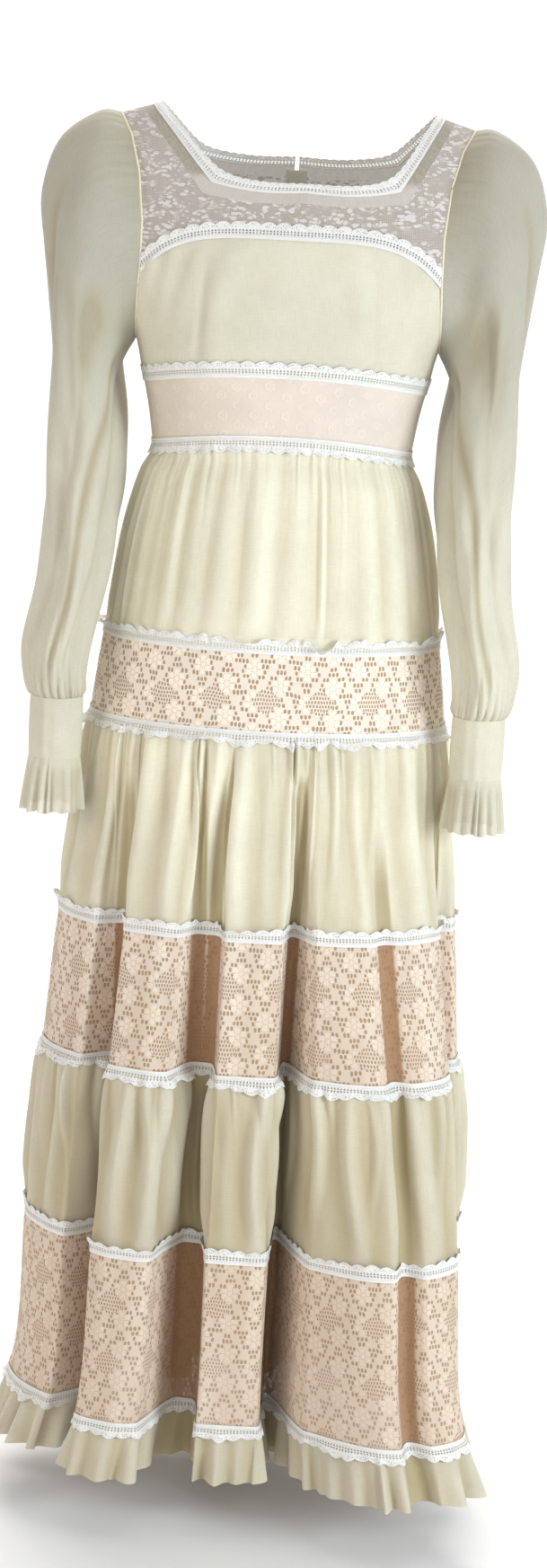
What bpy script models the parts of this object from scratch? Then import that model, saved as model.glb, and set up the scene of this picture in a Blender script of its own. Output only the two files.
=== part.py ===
"""A tiered lace maxi dress in the hollow shape it has when worn, with nobody in it.

Metres. +Z is up from the shoulder line, the front faces -Y and +X is the wearer's left side.
The body is a stack of level sections. Every panel is a patch of the surface through them.
"""

import math
from collections import namedtuple

import bmesh
import bpy
import numpy as np
from mathutils import Vector

# Cloth and sewing
VOILE = 0.0012
LACE = 0.0012
EDGING = 0.0010
SEAM_GAP = 0.0003
TRIM_OVERLAP = 0.004
TRIM_FREE = 0.013
TRIM_CLEAR = 0.0012
YOKE_TRIM_CLEAR = 0.0014
SEAM_CLEAR = 0.0006

# Levels of the seams, below the shoulder line
UNDERARM = -0.235
WAIST_LACE_TOP = -0.262
WAIST_LACE_BOTTOM = -0.328
WAIST_SIDE_DROP = 0.014
LACE_1_TOP = -0.536
LACE_1_BOTTOM = -0.622
LACE_2_TOP = -0.832
LACE_2_BOTTOM = -0.978
LACE_3_TOP = -1.166
LACE_3_BOTTOM = -1.350
HEM = -1.408

# Body sections: half width, depth in front and behind, and how square the outline is
Section = namedtuple("Section", "z half_width front back power")
SECTIONS = (
    Section(0.000, 0.215, 0.000, 0.000, 2.4),
    Section(-0.010, 0.215, 0.032, 0.034, 2.4),
    Section(-0.030, 0.215, 0.054, 0.058, 2.4),
    Section(-0.060, 0.215, 0.073, 0.079, 2.4),
    Section(-0.090, 0.214, 0.087, 0.093, 2.4),
    Section(-0.127, 0.208, 0.102, 0.102, 2.4),
    Section(-0.165, 0.192, 0.115, 0.104, 2.4),
    Section(-0.200, 0.170, 0.122, 0.100, 2.4),
    Section(-0.235, 0.155, 0.121, 0.094, 2.4),
    Section(-0.265, 0.148, 0.113, 0.089, 2.35),
    Section(-0.300, 0.140, 0.103, 0.086, 2.3),
    Section(-0.347, 0.1325, 0.096, 0.086, 2.25),
    Section(-0.370, 0.141, 0.103, 0.095, 2.2),
    Section(-0.405, 0.151, 0.110, 0.106, 2.15),
    Section(-0.490, 0.167, 0.122, 0.123, 2.1),
    Section(-0.545, 0.176, 0.124, 0.131, 2.05),
    Section(-0.635, 0.187, 0.127, 0.141, 2.0),
    Section(-0.720, 0.195, 0.129, 0.149, 2.0),
    Section(-0.838, 0.210, 0.132, 0.160, 2.0),
    Section(-0.987, 0.2215, 0.142, 0.173, 2.0),
    Section(-1.172, 0.233, 0.158, 0.188, 2.0),
    Section(-1.355, 0.2445, 0.155, 0.202, 2.0),
    Section(-1.410, 0.260, 0.164, 0.216, 2.0),
)

# Shoulder strap and necklines, in the front elevation
STRAP_SLOPE = 0.30
STRAP_BLEND = 0.12
NECK_HALF_WIDTH = 0.138
NECK_SAG = 0.004
SHOULDER_TIP = 0.179
ARCH_MIDDLE = -0.127
ARCH_DROP = 0.039
ARCH_CORNER = 0.150
ARCH_POWER = 4.5

# The skirt's hanging folds: the middle of each trough, half its width and its depth at the hem,
# and how flat its bottom is. Angles are in degrees from the front, positive towards +X, and
# left and right in the names are as seen from the front
Fold = namedtuple("Fold", "place angle half_width depth flatness")
FOLDS = (
    Fold("left of centre back", -162, 9.0, 0.080, 2),
    Fold("left back", -131, 9.0, 0.075, 2),
    Fold("left side back", -101, 8.0, 0.055, 2),
    Fold("left side front", -46, 7.0, 0.070, 2),
    Fold("left front, with cloth showing at the bottom", -15, 7.0, 0.070, 4),
    Fold("right of centre front", 12, 5.5, 0.100, 2),
    Fold("crease in the right front lobe", 38, 5.5, 0.020, 2),
    Fold("right side front", 70, 7.5, 0.055, 2),
    Fold("right side back", 101, 8.0, 0.060, 2),
    Fold("right back", 138, 9.0, 0.075, 2),
    Fold("right of centre back", 174, 8.0, 0.060, 2),
)
Lobe = namedtuple("Lobe", "place angle half_width out flatness")
LOBES = (
    Lobe("left front", -31, 14.0, 0.030, 4),
    Lobe("right front, furthest out", 43, 29.0, 0.088, 4),
)
FOLD_GROWTH_LEVELS = (HEM, LACE_3_TOP, LACE_2_BOTTOM, LACE_2_TOP, -0.720, -0.660, LACE_1_BOTTOM)
FOLD_GROWTH_SHARES = (1.0, 0.86, 0.64, 0.36, 0.13, 0.03, 0.0)
LOBE_STEP = 7.5

# Gathers. Every second column of the wall is one
TIER_1_GATHERS = 32
GATHER_TOP = 0.0006
GATHER_BULGE = 0.0042
HEM_WAVE = 0.0085
GATHER_LIMIT = 0.2

HIP_COLUMNS = 40
HIP_TRIM_FLIP = 0.0052

# One slot is cut in every second cell of the skirt's lace that is wide enough
SLOT_WIDTH = 0.0044
SLOT_HEIGHT = 0.0095
SLOT_MARGIN = 0.0035

# Yoke and bodice columns
STRAP_STEPS = 7
HALF_COLUMNS = 8
UNDERARM_SHARES = (0.0, 0.30, 0.52, 0.635, 1.0)
DART_COLUMNS = (4, 12)
DART_DEPTH = 0.0016

# Sleeve rings: the outer and inner edge in the front elevation, half depth, how far forward
Ring = namedtuple("Ring", "outer_x outer_z inner_x inner_z half_depth forward gather")
SLEEVE_RINGS = (
    Ring(0.200, -0.011, 0.160, -0.250, 0.086, 0.002, 0.0035),
    Ring(0.234, -0.034, 0.162, -0.266, 0.091, 0.006, 0.0028),
    Ring(0.257, -0.088, 0.163, -0.287, 0.088, 0.012, 0.0012),
    Ring(0.2585, -0.150, 0.162, -0.318, 0.079, 0.020, 0.0),
    Ring(0.2500, -0.250, 0.162, -0.372, 0.068, 0.033, 0.0),
    Ring(0.2420, -0.370, 0.165, -0.438, 0.059, 0.048, 0.0),
    Ring(0.2410, -0.475, 0.173, -0.505, 0.057, 0.060, 0.0016),
    Ring(0.2520, -0.558, 0.184, -0.566, 0.055, 0.069, 0.0030),
    Ring(0.2460, -0.590, 0.1895, -0.592, 0.042, 0.070, 0.0022),
)
CUFF_TOP = -0.600
CUFF_BOTTOM = -0.662
CUFF_HALF_WIDTH = 0.0265
CUFF_HALF_DEPTH = 0.0300
CUFF_MIDDLE_X = 0.2165
CUFF_FORWARD = 0.070
CUFF_COLUMNS = 16
RUFFLE_BOTTOM = -0.718
RUFFLE_WAVE = 0.0045
RUFFLE_FLARE = 0.005
BUTTON_RADIUS = 0.005
BUTTON_HEIGHT = 0.0026
BUTTON_LEVELS = (-0.616, -0.644)
BUTTON_FACET = -3.5

# Centre-back zip
ZIP_TOP = -0.060
ZIP_BOTTOM = -0.522
ZIP_OPENING = 0.0022
CHAIN_HALF_WIDTH = 0.0017
CHAIN_PROUD = 0.0003
TAPE_HALF_WIDTH = 0.011
TAPE_DEPTH = 0.0020
TAPE_THICKNESS = 0.0010
SLIDER_LEVEL = -0.0765
SLIDER_WIDTH = 0.0060
SLIDER_LENGTH = 0.0085
SLIDER_THICKNESS = 0.0014
BRIDGE_WIDTH = 0.0016
BRIDGE_LENGTH = 0.0056
BRIDGE_RISE = 0.0023
BRIDGE_BAR = 0.0008
PULL_WIDTH = 0.0052
PULL_LENGTH = 0.0260
PULL_THICKNESS = 0.0008
PULL_EYE_WIDTH = 0.0026
PULL_EYE_LENGTH = 0.0040
PULL_AXIS_HEIGHT = 0.0008

Finish = namedtuple("Finish", "name color roughness metallic")
CREAM_VOILE = Finish("cream_voile", (0.80, 0.74, 0.55), 0.75, 0.0)
PEACH_LACE = Finish("peach_lace", (0.80, 0.62, 0.47), 0.85, 0.0)
YOKE_LACE = Finish("yoke_lace", (0.80, 0.71, 0.64), 0.85, 0.0)
WHITE_EDGING = Finish("white_edging", (0.87, 0.86, 0.83), 0.80, 0.0)
SHEER_INSERT = Finish("sheer_insert", (0.52, 0.47, 0.40), 0.70, 0.0)
ZIP_CLOTH = Finish("zip_cloth", (0.75, 0.68, 0.50), 0.60, 0.0)
ZIP_METAL = Finish("zip_metal", (0.72, 0.66, 0.50), 0.35, 1.0)
BUTTON_SHELL = Finish("button_shell", (0.85, 0.80, 0.66), 0.30, 0.0)


def smooth_columns():
    """Slopes for a smooth curve through the sections, spaced by the square root of their drop."""
    drop = np.sqrt([-s.z for s in SECTIONS])
    values = np.array([s[1:] for s in SECTIONS])
    slopes = np.gradient(values, drop, axis=0)
    slopes[:12] = np.gradient(values[:12], drop[:12], axis=0)
    return drop, values, slopes


DROP, VALUES, SLOPES = smooth_columns()


def section_at(z):
    """Half width, front depth, back depth and power of the body at a level."""
    s = math.sqrt(max(-z, 0.0))
    i = int(np.clip(np.searchsorted(DROP, s) - 1, 0, len(DROP) - 2))
    span = DROP[i + 1] - DROP[i]
    t = (s - DROP[i]) / span
    start, end = VALUES[i], VALUES[i + 1]
    return (
        start * (1 + 2 * t) * (1 - t) ** 2
        + end * (3 - 2 * t) * t * t
        + span * (SLOPES[i] * t * (1 - t) ** 2 - SLOPES[i + 1] * (1 - t) * t * t)
    )


def strap_level(x):
    """Height of the shoulder line, which falls towards the arm."""
    return -STRAP_SLOPE * max(abs(x) - NECK_HALF_WIDTH, 0.0)


def bodice_point(x, z, side):
    """A point of the bodice from its front elevation. side is -1 in front and 1 behind."""
    lowered = strap_level(x) * max(0.0, 1 + (z - strap_level(x)) / STRAP_BLEND)
    half_width, front, back, power = section_at(min(z - lowered, 0.0))
    depth = front if side < 0 else back
    share = min(abs(x) / half_width, 1.0)
    return np.array((x, side * depth * (1 - share**power) ** (1 / power), z))


def bodice_normals(points, side, level):
    """Outward normals of the bodice at some of its points. Level ones lie flat, for a level edge."""
    step = 2e-4
    normals = []
    for x, _, z in points:
        x, z = 0.996 * x, z - step * (z > -3 * step)
        across = bodice_point(x + step, z, side) - bodice_point(x - step, z, side)
        up = bodice_point(x, z + step, side) - bodice_point(x, z - step, side)
        normal = np.cross(across, up)
        normal *= (-1.0 if normal[1] * side < 0 else 1.0) / np.linalg.norm(normal)
        if level:
            normal *= (1, 1, 0)
            normal /= normal @ normal
        normals.append(normal)
    return np.array(normals)


def armhole_x(z):
    """Half distance between the armholes at a level; below them, the side seam."""
    if z <= UNDERARM:
        return section_at(z)[0]
    levels = (UNDERARM, -0.205, -0.165, -0.120, -0.070, -0.035, strap_level(SHOULDER_TIP))
    widths = (section_at(UNDERARM)[0], 0.1525, ARCH_CORNER, 0.150, 0.156, 0.166, SHOULDER_TIP)
    return float(np.interp(z, levels, widths))


def arch_z(x):
    """The yoke seam, nearly level in the middle and falling to the armholes."""
    return ARCH_MIDDLE - ARCH_DROP * (abs(x) / ARCH_CORNER) ** ARCH_POWER


def waist_z(level, angle):
    """A waist seam, which dips a little at the sides."""
    return level - WAIST_SIDE_DROP * math.sin(angle) ** 2


def bell(offset, flatness=2):
    return (1 - abs(offset) ** flatness) ** 2 if abs(offset) < 1 else 0.0


def turned(angle):
    """The angle brought between -180 and 180 degrees."""
    return (angle + 180) % 360 - 180


def body_point(angle, z):
    """A point of the body surface between the armholes. Angle 0 is the front, pi the back."""
    power = section_at(z)[3]
    s = math.sin(angle)
    share = math.copysign(abs(s) ** (2 / power), s)
    return bodice_point(share * armhole_x(z), z, -1 if math.cos(angle) > 0 else 1)


def inward_at(angle, z):
    """Level direction in which a fold is pressed, more to the middle than to the axis."""
    mouth = body_point(math.radians(angle), z)
    inward = np.array((-0.45 * mouth[0], -mouth[1], 0.0))
    return inward / np.linalg.norm(inward)


def skirt_point(angle, z):
    """A point of the skirt, with the large folds that grow towards the hem."""
    point = body_point(angle, z)
    grown = np.interp(z, FOLD_GROWTH_LEVELS, FOLD_GROWTH_SHARES)
    if grown == 0.0:
        return point
    for fold in FOLDS:
        pressed = bell(turned(math.degrees(angle) - fold.angle) / fold.half_width, fold.flatness)
        point = point + inward_at(fold.angle, z) * fold.depth * grown * pressed
    for lobe in LOBES:
        raised = bell(turned(math.degrees(angle) - lobe.angle) / lobe.half_width, lobe.flatness)
        point = point - inward_at(lobe.angle, z) * lobe.out * grown**2 * raised
    return point


def skirt_angles():
    """Column angles round the skirt: four to each fold, and the lobes between in even steps."""
    breaks = []
    for fold in sorted(FOLDS, key=lambda f: f.angle):
        breaks += [fold.angle + offset * fold.half_width for offset in (-1, -0.45, 0, 0.45, 1)]
    breaks = sorted({turned(b) for b in breaks} | {-90.0, 90.0})
    halves = []
    for start, end in ((-90, 90), (90, 270)):
        inside = sorted(b + 360 * (b < start) for b in breaks if start <= b + 360 * (b < start) <= end)
        inside = [start] + [b for b in inside if start < b < end] + [end]
        steps = [max(1, round((b - a) / LOBE_STEP)) for a, b in zip(inside, inside[1:])]
        if sum(steps) % 2:
            steps[int(np.argmax([(b - a) / n for a, b, n in zip(inside, inside[1:], steps)]))] += 1
        angles = []
        for a, b, n in zip(inside, inside[1:], steps):
            angles += [a + (b - a) * k / n for k in range(n)]
        halves.append([math.radians(a) for a in angles])
    return halves


FRONT_ANGLES, BACK_ANGLES = skirt_angles()


def material_of(finish):
    found = bpy.data.materials.get(finish.name)
    if found:
        return found
    made = bpy.data.materials.new(finish.name)
    made.use_nodes = True
    shader = made.node_tree.nodes["Principled BSDF"]
    shader.inputs["Base Color"].default_value = (*finish.color, 1.0)
    shader.inputs["Roughness"].default_value = finish.roughness
    shader.inputs["Metallic"].default_value = finish.metallic
    made.diffuse_color = (*finish.color, 1.0)
    return made


def level_normals(ring, closed):
    """Level normals of a ring, lengthened at its corners so that an offset keeps its thickness."""
    points = np.array(ring)
    if closed:
        points = np.vstack([points[-1:], points, points[:1]])
    sides = np.diff(points, axis=0)
    normals = np.stack([-sides[:, 1], sides[:, 0], 0 * sides[:, 0]], axis=1)
    normals /= np.linalg.norm(normals, axis=1, keepdims=True)
    if not closed:
        normals = np.vstack([normals[:1], normals, normals[-1:]])
    corner = normals[1:] + normals[:-1]
    corner /= np.linalg.norm(corner, axis=1, keepdims=True)
    square = (corner * normals[1:]).sum(axis=1, keepdims=True)
    return away(np.array(ring), corner / np.maximum(square, 0.5), closed)


def surface_normals(rows, closed):
    """Normals of a grid of points."""
    grid = np.array(rows)
    if closed:
        along = np.roll(grid, -1, axis=1) - np.roll(grid, 1, axis=1)
    else:
        along = np.gradient(grid, axis=1)
    normal = np.cross(np.gradient(grid, axis=0), along)
    normal /= np.linalg.norm(normal, axis=2, keepdims=True)
    return away(grid, normal, closed)


def away(points, normals, closed):
    """The normals, all turned over if they point to the middle of the body or sleeve."""
    if closed:
        middle = points.mean(axis=-2, keepdims=True)
    else:
        middle = points * (0, 0, 1) - (0, 0, 0.1)
    return normals * (1.0 if (normals * (points - middle)).sum() > 0 else -1.0)


def wall(name, rows, thickness, finish, closed=False, level=None, inner=None, slots=(), proud=False):
    """A cloth wall through rows of outer points. Its edge is level in the rows named by level.

    Each slot is a cell (row, column) with a gap cut through it. A twisted cell is split along its
    lower diagonal, and in a proud wall along its higher one, so that a wall laid on top stays clear.
    """
    outer = np.array(rows)
    row_count, column_count = outer.shape[:2]
    if inner is None:
        level = range(row_count) if level is None else level
        normal = surface_normals(outer, closed)
        for i in level:
            normal[i] = level_normals(outer[i], closed)
        inner = outer - thickness * normal
    mesh = bmesh.new()
    skins = [[[mesh.verts.new(p) for p in row] for row in skin] for skin in (outer, inner)]
    last = column_count if closed else column_count - 1
    for i in range(row_count - 1):
        for k in range(last):
            places = ((i, k), (i, (k + 1) % column_count), (i + 1, (k + 1) % column_count), (i + 1, k))
            if (i, k) in slots:
                cut_slot(mesh, [[skin[a][b] for a, b in places] for skin in skins])
                continue
            corners = [outer[a][b] for a, b in places]
            out = sum(outer[a][b] - inner[a][b] for a, b in places)
            first_higher = (corners[0] + corners[2] - corners[1] - corners[3]) @ out > 0
            if first_higher != proud:
                places = places[1:] + places[:1]
            for skin in skins:
                quad = [skin[a][b] for a, b in places]
                mesh.faces.new(quad[:3])
                mesh.faces.new([quad[0], quad[2], quad[3]])
    for i in (0, row_count - 1):
        for k in range(last):
            following = (k + 1) % column_count
            mesh.faces.new([skins[0][i][k], skins[0][i][following], skins[1][i][following], skins[1][i][k]])
    if not closed:
        for k in (0, column_count - 1):
            for i in range(row_count - 1):
                mesh.faces.new([skins[0][i][k], skins[0][i + 1][k], skins[1][i + 1][k], skins[1][i][k]])
    return finished(name, mesh, finish)


def cut_slot(mesh, cells):
    """An upright slot through the middle of a cell, given as its outer and inner corners."""
    rings = []
    for corners in cells:
        places = [np.array(v.co) for v in corners]
        across = SLOT_WIDTH / (np.linalg.norm(places[1] - places[0]) + np.linalg.norm(places[2] - places[3]))
        down = SLOT_HEIGHT / (2 * np.linalg.norm(places[3] - places[0]))
        ring = []
        for u, v in ((-across, -down), (across, -down), (across, down), (-across, down)):
            top = places[0] * (0.5 - u) + places[1] * (0.5 + u)
            bottom = places[3] * (0.5 - u) + places[2] * (0.5 + u)
            ring.append(mesh.verts.new(top * (0.5 - v) + bottom * (0.5 + v)))
        for n in range(4):
            following = (n + 1) % 4
            mesh.faces.new([corners[n], corners[following], ring[following]])
            mesh.faces.new([corners[n], ring[following], ring[n]])
        rings.append(ring)
    for n in range(4):
        mesh.faces.new([rings[0][n], rings[0][(n + 1) % 4], rings[1][(n + 1) % 4], rings[1][n]])


def finished(name, mesh, finish):
    """Links a bmesh as a named object with its normals out and its material on."""
    bmesh.ops.recalc_face_normals(mesh, faces=mesh.faces)
    data = bpy.data.meshes.new(name)
    mesh.to_mesh(data)
    mesh.free()
    data.materials.append(material_of(finish))
    made = bpy.data.objects.new(name, data)
    bpy.data.collections["lace_maxi_dress"].objects.link(made)
    return made


def room_at(ring, closed):
    """The space at each point of a ring: the distance to the nearest point that isn't beside it."""
    points = np.array(ring)
    gaps = np.linalg.norm(points[:, None] - points[None], axis=2)
    apart = abs(np.subtract.outer(range(len(points)), range(len(points))))
    if closed:
        apart = np.minimum(apart, len(points) - apart)
    gaps[apart < 2] = 1.0
    return gaps.min(axis=1)


def gathered(ring, size, closed, still=()):
    """Moves every second column of a level ring out and the others in. Columns in still stay."""
    points = np.array(ring)
    sizes = np.minimum(size, GATHER_LIMIT * room_at(points, closed))
    signs = np.array([(-1) ** k * (0.8 + 0.2 * math.sin(2.4 * k)) * (k not in still) for k in range(len(ring))])
    return points + level_normals(points, closed) * (sizes * signs)[:, None]


def along(rows, distance):
    """A ring on a panel at a distance below its first row, or above its last row if negative."""
    near, far = (rows[0], rows[1]) if distance > 0 else (rows[-1], rows[-2])
    near, far = np.array(near), np.array(far)
    return near + (far - near) * (abs(distance) / np.linalg.norm(far - near, axis=1))[:, None]


def edging(name, sewn, free, down, closed, stand, full=None, side=0):
    """White edging over the seam of two panels. It is sewn to one and hangs free over the other.

    Where the free edge lies over gathers, full holds the gathered rows and free the smooth ones.
    side is given where it lies on the sloping bodice.
    """
    turn = 1 if down else -1
    ring = along(sewn, -turn * TRIM_OVERLAP)
    normal = bodice_normals(ring, side, False) if side else level_normals(ring, closed)
    sewn_pair = (ring + normal * (SEAM_GAP + EDGING), ring + normal * SEAM_GAP)
    ring = along(free, turn * TRIM_FREE)
    normal = bodice_normals(ring, side, False) if side else level_normals(ring, closed)
    out = np.full((len(ring), 1), stand)
    if closed:
        out = np.minimum(out, np.maximum(SEAM_GAP, 0.12 * room_at(ring, closed) - EDGING)[:, None])
    if full is not None:
        fuller = ((along(full, turn * TRIM_FREE) - ring) * normal).sum(axis=1, keepdims=True)
        out = out + np.maximum(fuller, 0)
    free_pair = (ring + normal * (out + EDGING), ring + normal * out)
    pairs = (sewn_pair, free_pair) if down else (free_pair, sewn_pair)
    if side:
        ring = free[-1]
        pairs = (free_pair, (ring + normal * (SEAM_CLEAR + EDGING), ring + normal * SEAM_CLEAR), sewn_pair)
    outer, inner = zip(*pairs)
    return wall(name, outer, EDGING, WHITE_EDGING, closed=closed, inner=np.array(inner), proud=True)


def waist_angles():
    """Columns of the waist and bodice, from the zip round the front and back to it."""
    return np.linspace(-math.pi, math.pi, 4 * HALF_COLUMNS + 1)


def opened(ring):
    """A ring whose two ends stop beside the zip."""
    ring = np.array(ring)
    ring[0][0], ring[-1][0] = -ZIP_OPENING, ZIP_OPENING
    return ring


def waist_band():
    """The lace insertion under the bust."""
    rows = []
    for share in (0.0, 0.5, 1.0):
        ring = []
        for a in waist_angles():
            top = waist_z(WAIST_LACE_TOP, a) - SEAM_GAP / 2
            bottom = waist_z(WAIST_LACE_BOTTOM, a) + SEAM_GAP / 2
            ring.append(body_point(a, top + share * (bottom - top)))
        rows.append(opened(ring))
    wall("waist_lace", rows, LACE, PEACH_LACE)
    return rows


def first_tier(waist_rows):
    """The top tier, gathered under the waist lace and open at the centre back for the zip."""
    columns = 2 * TIER_1_GATHERS
    angles = np.linspace(-math.pi, math.pi, columns + 1)
    edge = waist_rows[-1]
    top = np.empty((columns + 1, 3))
    top[::2] = edge
    top[1::2] = (edge[1:] + edge[:-1]) / 2
    top -= (0, 0, SEAM_GAP)
    still = (0, 1, 2, columns - 2, columns - 1, columns)
    rows = []
    for share, size in ((0.0, GATHER_TOP), (0.28, GATHER_BULGE), (0.62, 0.6 * GATHER_BULGE), (1.0, 0.0)):
        ring = []
        for a, start in zip(angles, top):
            z = start[2] + share * (LACE_1_TOP + SEAM_GAP / 2 - start[2])
            ring.append(start if share == 0 else body_point(a, z))
        rows.append(gathered(opened(ring), size, False, still))
    wall("tier_1", rows, VOILE, CREAM_VOILE)
    return rows


def tier(name, top, bottom):
    """A gathered voile tier: fullest below its top seam and sewn flat to the lace below."""
    angles = FRONT_ANGLES + BACK_ANGLES
    top, bottom = top - SEAM_GAP / 2, bottom + SEAM_GAP / 2
    smooth, rows = [], []
    for share, size in ((0.0, GATHER_TOP), (0.3, GATHER_BULGE), (1.0, 0.0)):
        ring = [skirt_point(a, top + share * (bottom - top)) for a in angles]
        smooth.append(ring)
        rows.append(gathered(ring, size, True))
    wall(name, rows, VOILE, CREAM_VOILE, closed=True)
    return smooth, rows


def lace_band(number, top, bottom, loop):
    """A lace band in a front and a back length, with its largest gaps cut through."""
    levels = np.linspace(top - SEAM_GAP / 2, bottom + SEAM_GAP / 2, 3)
    rows = [[skirt_point(a, z) for a in loop] for z in levels]
    every = 2 if number == 1 else 3
    middle = sum(a < math.pi / 2 - 1e-6 for a in loop)
    rounded = [row + row[:1] for row in rows]
    for half, part in (("front", slice(0, middle + 1)), ("back", slice(middle, None))):
        side = -1 if half == "front" else 1
        piece = [np.array(row[part]) for row in rounded]
        for row in piece:
            row[0][1] += side * SEAM_GAP / 2
            row[-1][1] += side * SEAM_GAP / 2
        wall(f"lace_{number}_{half}", piece, LACE, PEACH_LACE, slots=slots_in(piece, every))
    return rows


def slots_in(rows, every):
    """Cells to cut a slot in: one in every so many, staggered from row to row, if it is wide enough."""
    cells = []
    for i in range(len(rows) - 1):
        for k in range(len(rows[0]) - 1):
            width = min(np.linalg.norm(row[k + 1] - row[k]) for row in (rows[i], rows[i + 1]))
            if (i + k) % every == 0 and width > SLOT_WIDTH + 2 * SLOT_MARGIN:
                cells.append((i, k))
    return cells


def hem_ruffle():
    """The gathered ruffle at the hem, flaring into waves."""
    angles = FRONT_ANGLES + BACK_ANGLES
    top = LACE_3_BOTTOM - SEAM_GAP / 2
    smooth, rows = [], []
    for z, size in ((top, GATHER_TOP), (HEM, HEM_WAVE)):
        smooth.append([skirt_point(a, z) for a in angles])
        rows.append(gathered(smooth[-1], size, True))
    wall("hem_ruffle", rows, VOILE, CREAM_VOILE, closed=True)
    return smooth, rows


def neck_path(side, out):
    """Corner points of the neckline in the front elevation: shoulder, corner, middle; out widens it."""
    if side < 0:
        corner, middle = (0.086, -0.069), (0.0, -0.074)
    else:
        corner, middle = (0.098, -0.041), (0.0, -0.046)
    shoulder = (NECK_HALF_WIDTH + out, strap_level(NECK_HALF_WIDTH + out))
    return shoulder, (corner[0] + 0.8 * out, corner[1] - out), (middle[0], middle[1] - out)


def neck_edge(side, out, share):
    """The neckline at a share from the shoulder (0) by the corner (1) to the middle (2)."""
    shoulder, corner, middle = neck_path(side, out)
    start, end, t = (shoulder, corner, share) if share <= 1 else (corner, middle, share - 1)
    sag = NECK_SAG * math.sin(math.pi * t) if share > 1 else 0.0
    return np.array((start[0] + (end[0] - start[0]) * t, start[1] + (end[1] - start[1]) * t - sag))


def yoke_edge(share):
    """The yoke's outer edge at the same share: down the armhole, then along the arched seam."""
    if share <= 1:
        z = strap_level(SHOULDER_TIP) + share * (arch_z(ARCH_CORNER) - strap_level(SHOULDER_TIP))
        return np.array((armhole_x(z), z))
    angle = (2 - share) * math.pi / 2
    x = body_point(angle, arch_z(ARCH_CORNER * math.sin(angle)))[0]
    return np.array((x, arch_z(x)))


def strap_shares():
    """Shares from the shoulder to the middle, closest together where the strap bends over."""
    strap = [(k / STRAP_STEPS) ** 1.6 for k in range(STRAP_STEPS)]
    return strap + [1 + k / HALF_COLUMNS for k in range(HALF_COLUMNS + 1)]


def bodice_rows(rows, side, half):
    """Points of the bodice from rows of (x, z) that run from the left shoulder to the middle."""
    grid = []
    for row in rows:
        points = [bodice_point(x, min(z, strap_level(x)), side) for x, z in row]
        points[0][1] += side * SEAM_GAP / 2
        mirrored = [p * (-1, 1, 1) for p in points]
        if half == 0:
            grid.append(points + mirrored[-2::-1])
        else:
            chosen = points if half > 0 else mirrored
            chosen[-1][0] = half * ZIP_OPENING
            grid.append(chosen)
    return np.array(grid)


def neckline_piece(name, side, half, start, end, finish, thickness):
    """A piece between two distances from the neckline. With no end it goes on to the yoke's edge."""
    steps = 2 if end is None else 1
    rows = []
    for step in range(steps + 1):
        row = []
        for share in strap_shares():
            near = neck_edge(side, start, share)
            far = yoke_edge(share) if end is None else neck_edge(side, end, share)
            row.append(near + (far - near) * step / steps)
        rows.append(row)
    if end is None:
        rows[-1] = [p + (0, SEAM_GAP / 2) if k >= STRAP_STEPS else p for k, p in enumerate(rows[-1])]
    grid = bodice_rows(rows, side, half)
    normal = np.array([bodice_normals(row, side, False) for row in grid])
    for k in (0,) if half else (0, -1):
        normal[:, k, 1] = 0.0
        normal[:, k] /= np.linalg.norm(normal[:, k], axis=1, keepdims=True)
    if end is None:
        seam = arch_part(half, grid)
        normal[-1, seam] = bodice_normals(grid[-1, seam], side, True)
    wall(name, grid, thickness, finish, inner=grid - thickness * normal)
    return grid


def arch_part(half, grid):
    """The columns of a yoke that end on the arched seam."""
    return slice(STRAP_STEPS, len(grid[0]) - (0 if half else STRAP_STEPS))


def bodice_panel(name, side, half):
    """The bust panel, or half of the back, from the yoke's seam down to the waist lace."""
    angles = np.linspace(math.pi / 2, -math.pi / 2, 2 * HALF_COLUMNS + 1)
    rows = []
    for share in UNDERARM_SHARES:
        row = []
        for k, a in enumerate(angles):
            near, far = yoke_edge(2 - abs(a) / (math.pi / 2)), waist_z(WAIST_LACE_TOP, a)
            top = near[1] - SEAM_GAP / 2
            z = top + (far + SEAM_GAP / 2 - top) * share
            x = near[0] * math.copysign(1, a) if share == 0 else body_point(a, z)[0]
            point = bodice_point(x, z, side)
            if abs(abs(a) - math.pi / 2) < 1e-9:
                point[1] += side * SEAM_GAP / 2
            if side < 0 and k in DART_COLUMNS:
                point += (0, DART_DEPTH * share, 0)
            row.append(point)
        if half > 0:
            row = row[: HALF_COLUMNS + 1]
        if half < 0:
            row = row[:HALF_COLUMNS - 1 : -1]
        if half:
            row[-1][0] = half * ZIP_OPENING
        rows.append(np.array(row))
    normal = np.array([bodice_normals(row, side, True) for row in rows])
    wall(name, rows, VOILE, CREAM_VOILE, inner=rows - VOILE * normal)
    return rows


def bodice():
    """Lace yoke, sheer insert and edging round the neckline, and the panels below the yoke."""
    made = {}
    insert, edge = 0.020, 0.012
    for place, side, half in (("front", -1, 0), ("back_left", 1, 1), ("back_right", 1, -1)):
        neckline_piece(f"neck_trim_{place}", side, half, 0.0, edge, WHITE_EDGING, EDGING)
        neckline_piece(f"neck_band_{place}", side, half, edge + SEAM_GAP, insert, SHEER_INSERT, VOILE)
        yoke = neckline_piece(f"yoke_{place}", side, half, insert + SEAM_GAP, None, YOKE_LACE, LACE)
        panel = bodice_panel("bust_front" if half == 0 else f"bodice_{place}", side, half)
        seam_part = yoke[:, arch_part(half, yoke)]
        edging(f"yoke_trim_{place}", panel, seam_part, False, False, YOKE_TRIM_CLEAR, side=side)
        made[place] = (yoke, panel)
    return made


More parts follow.
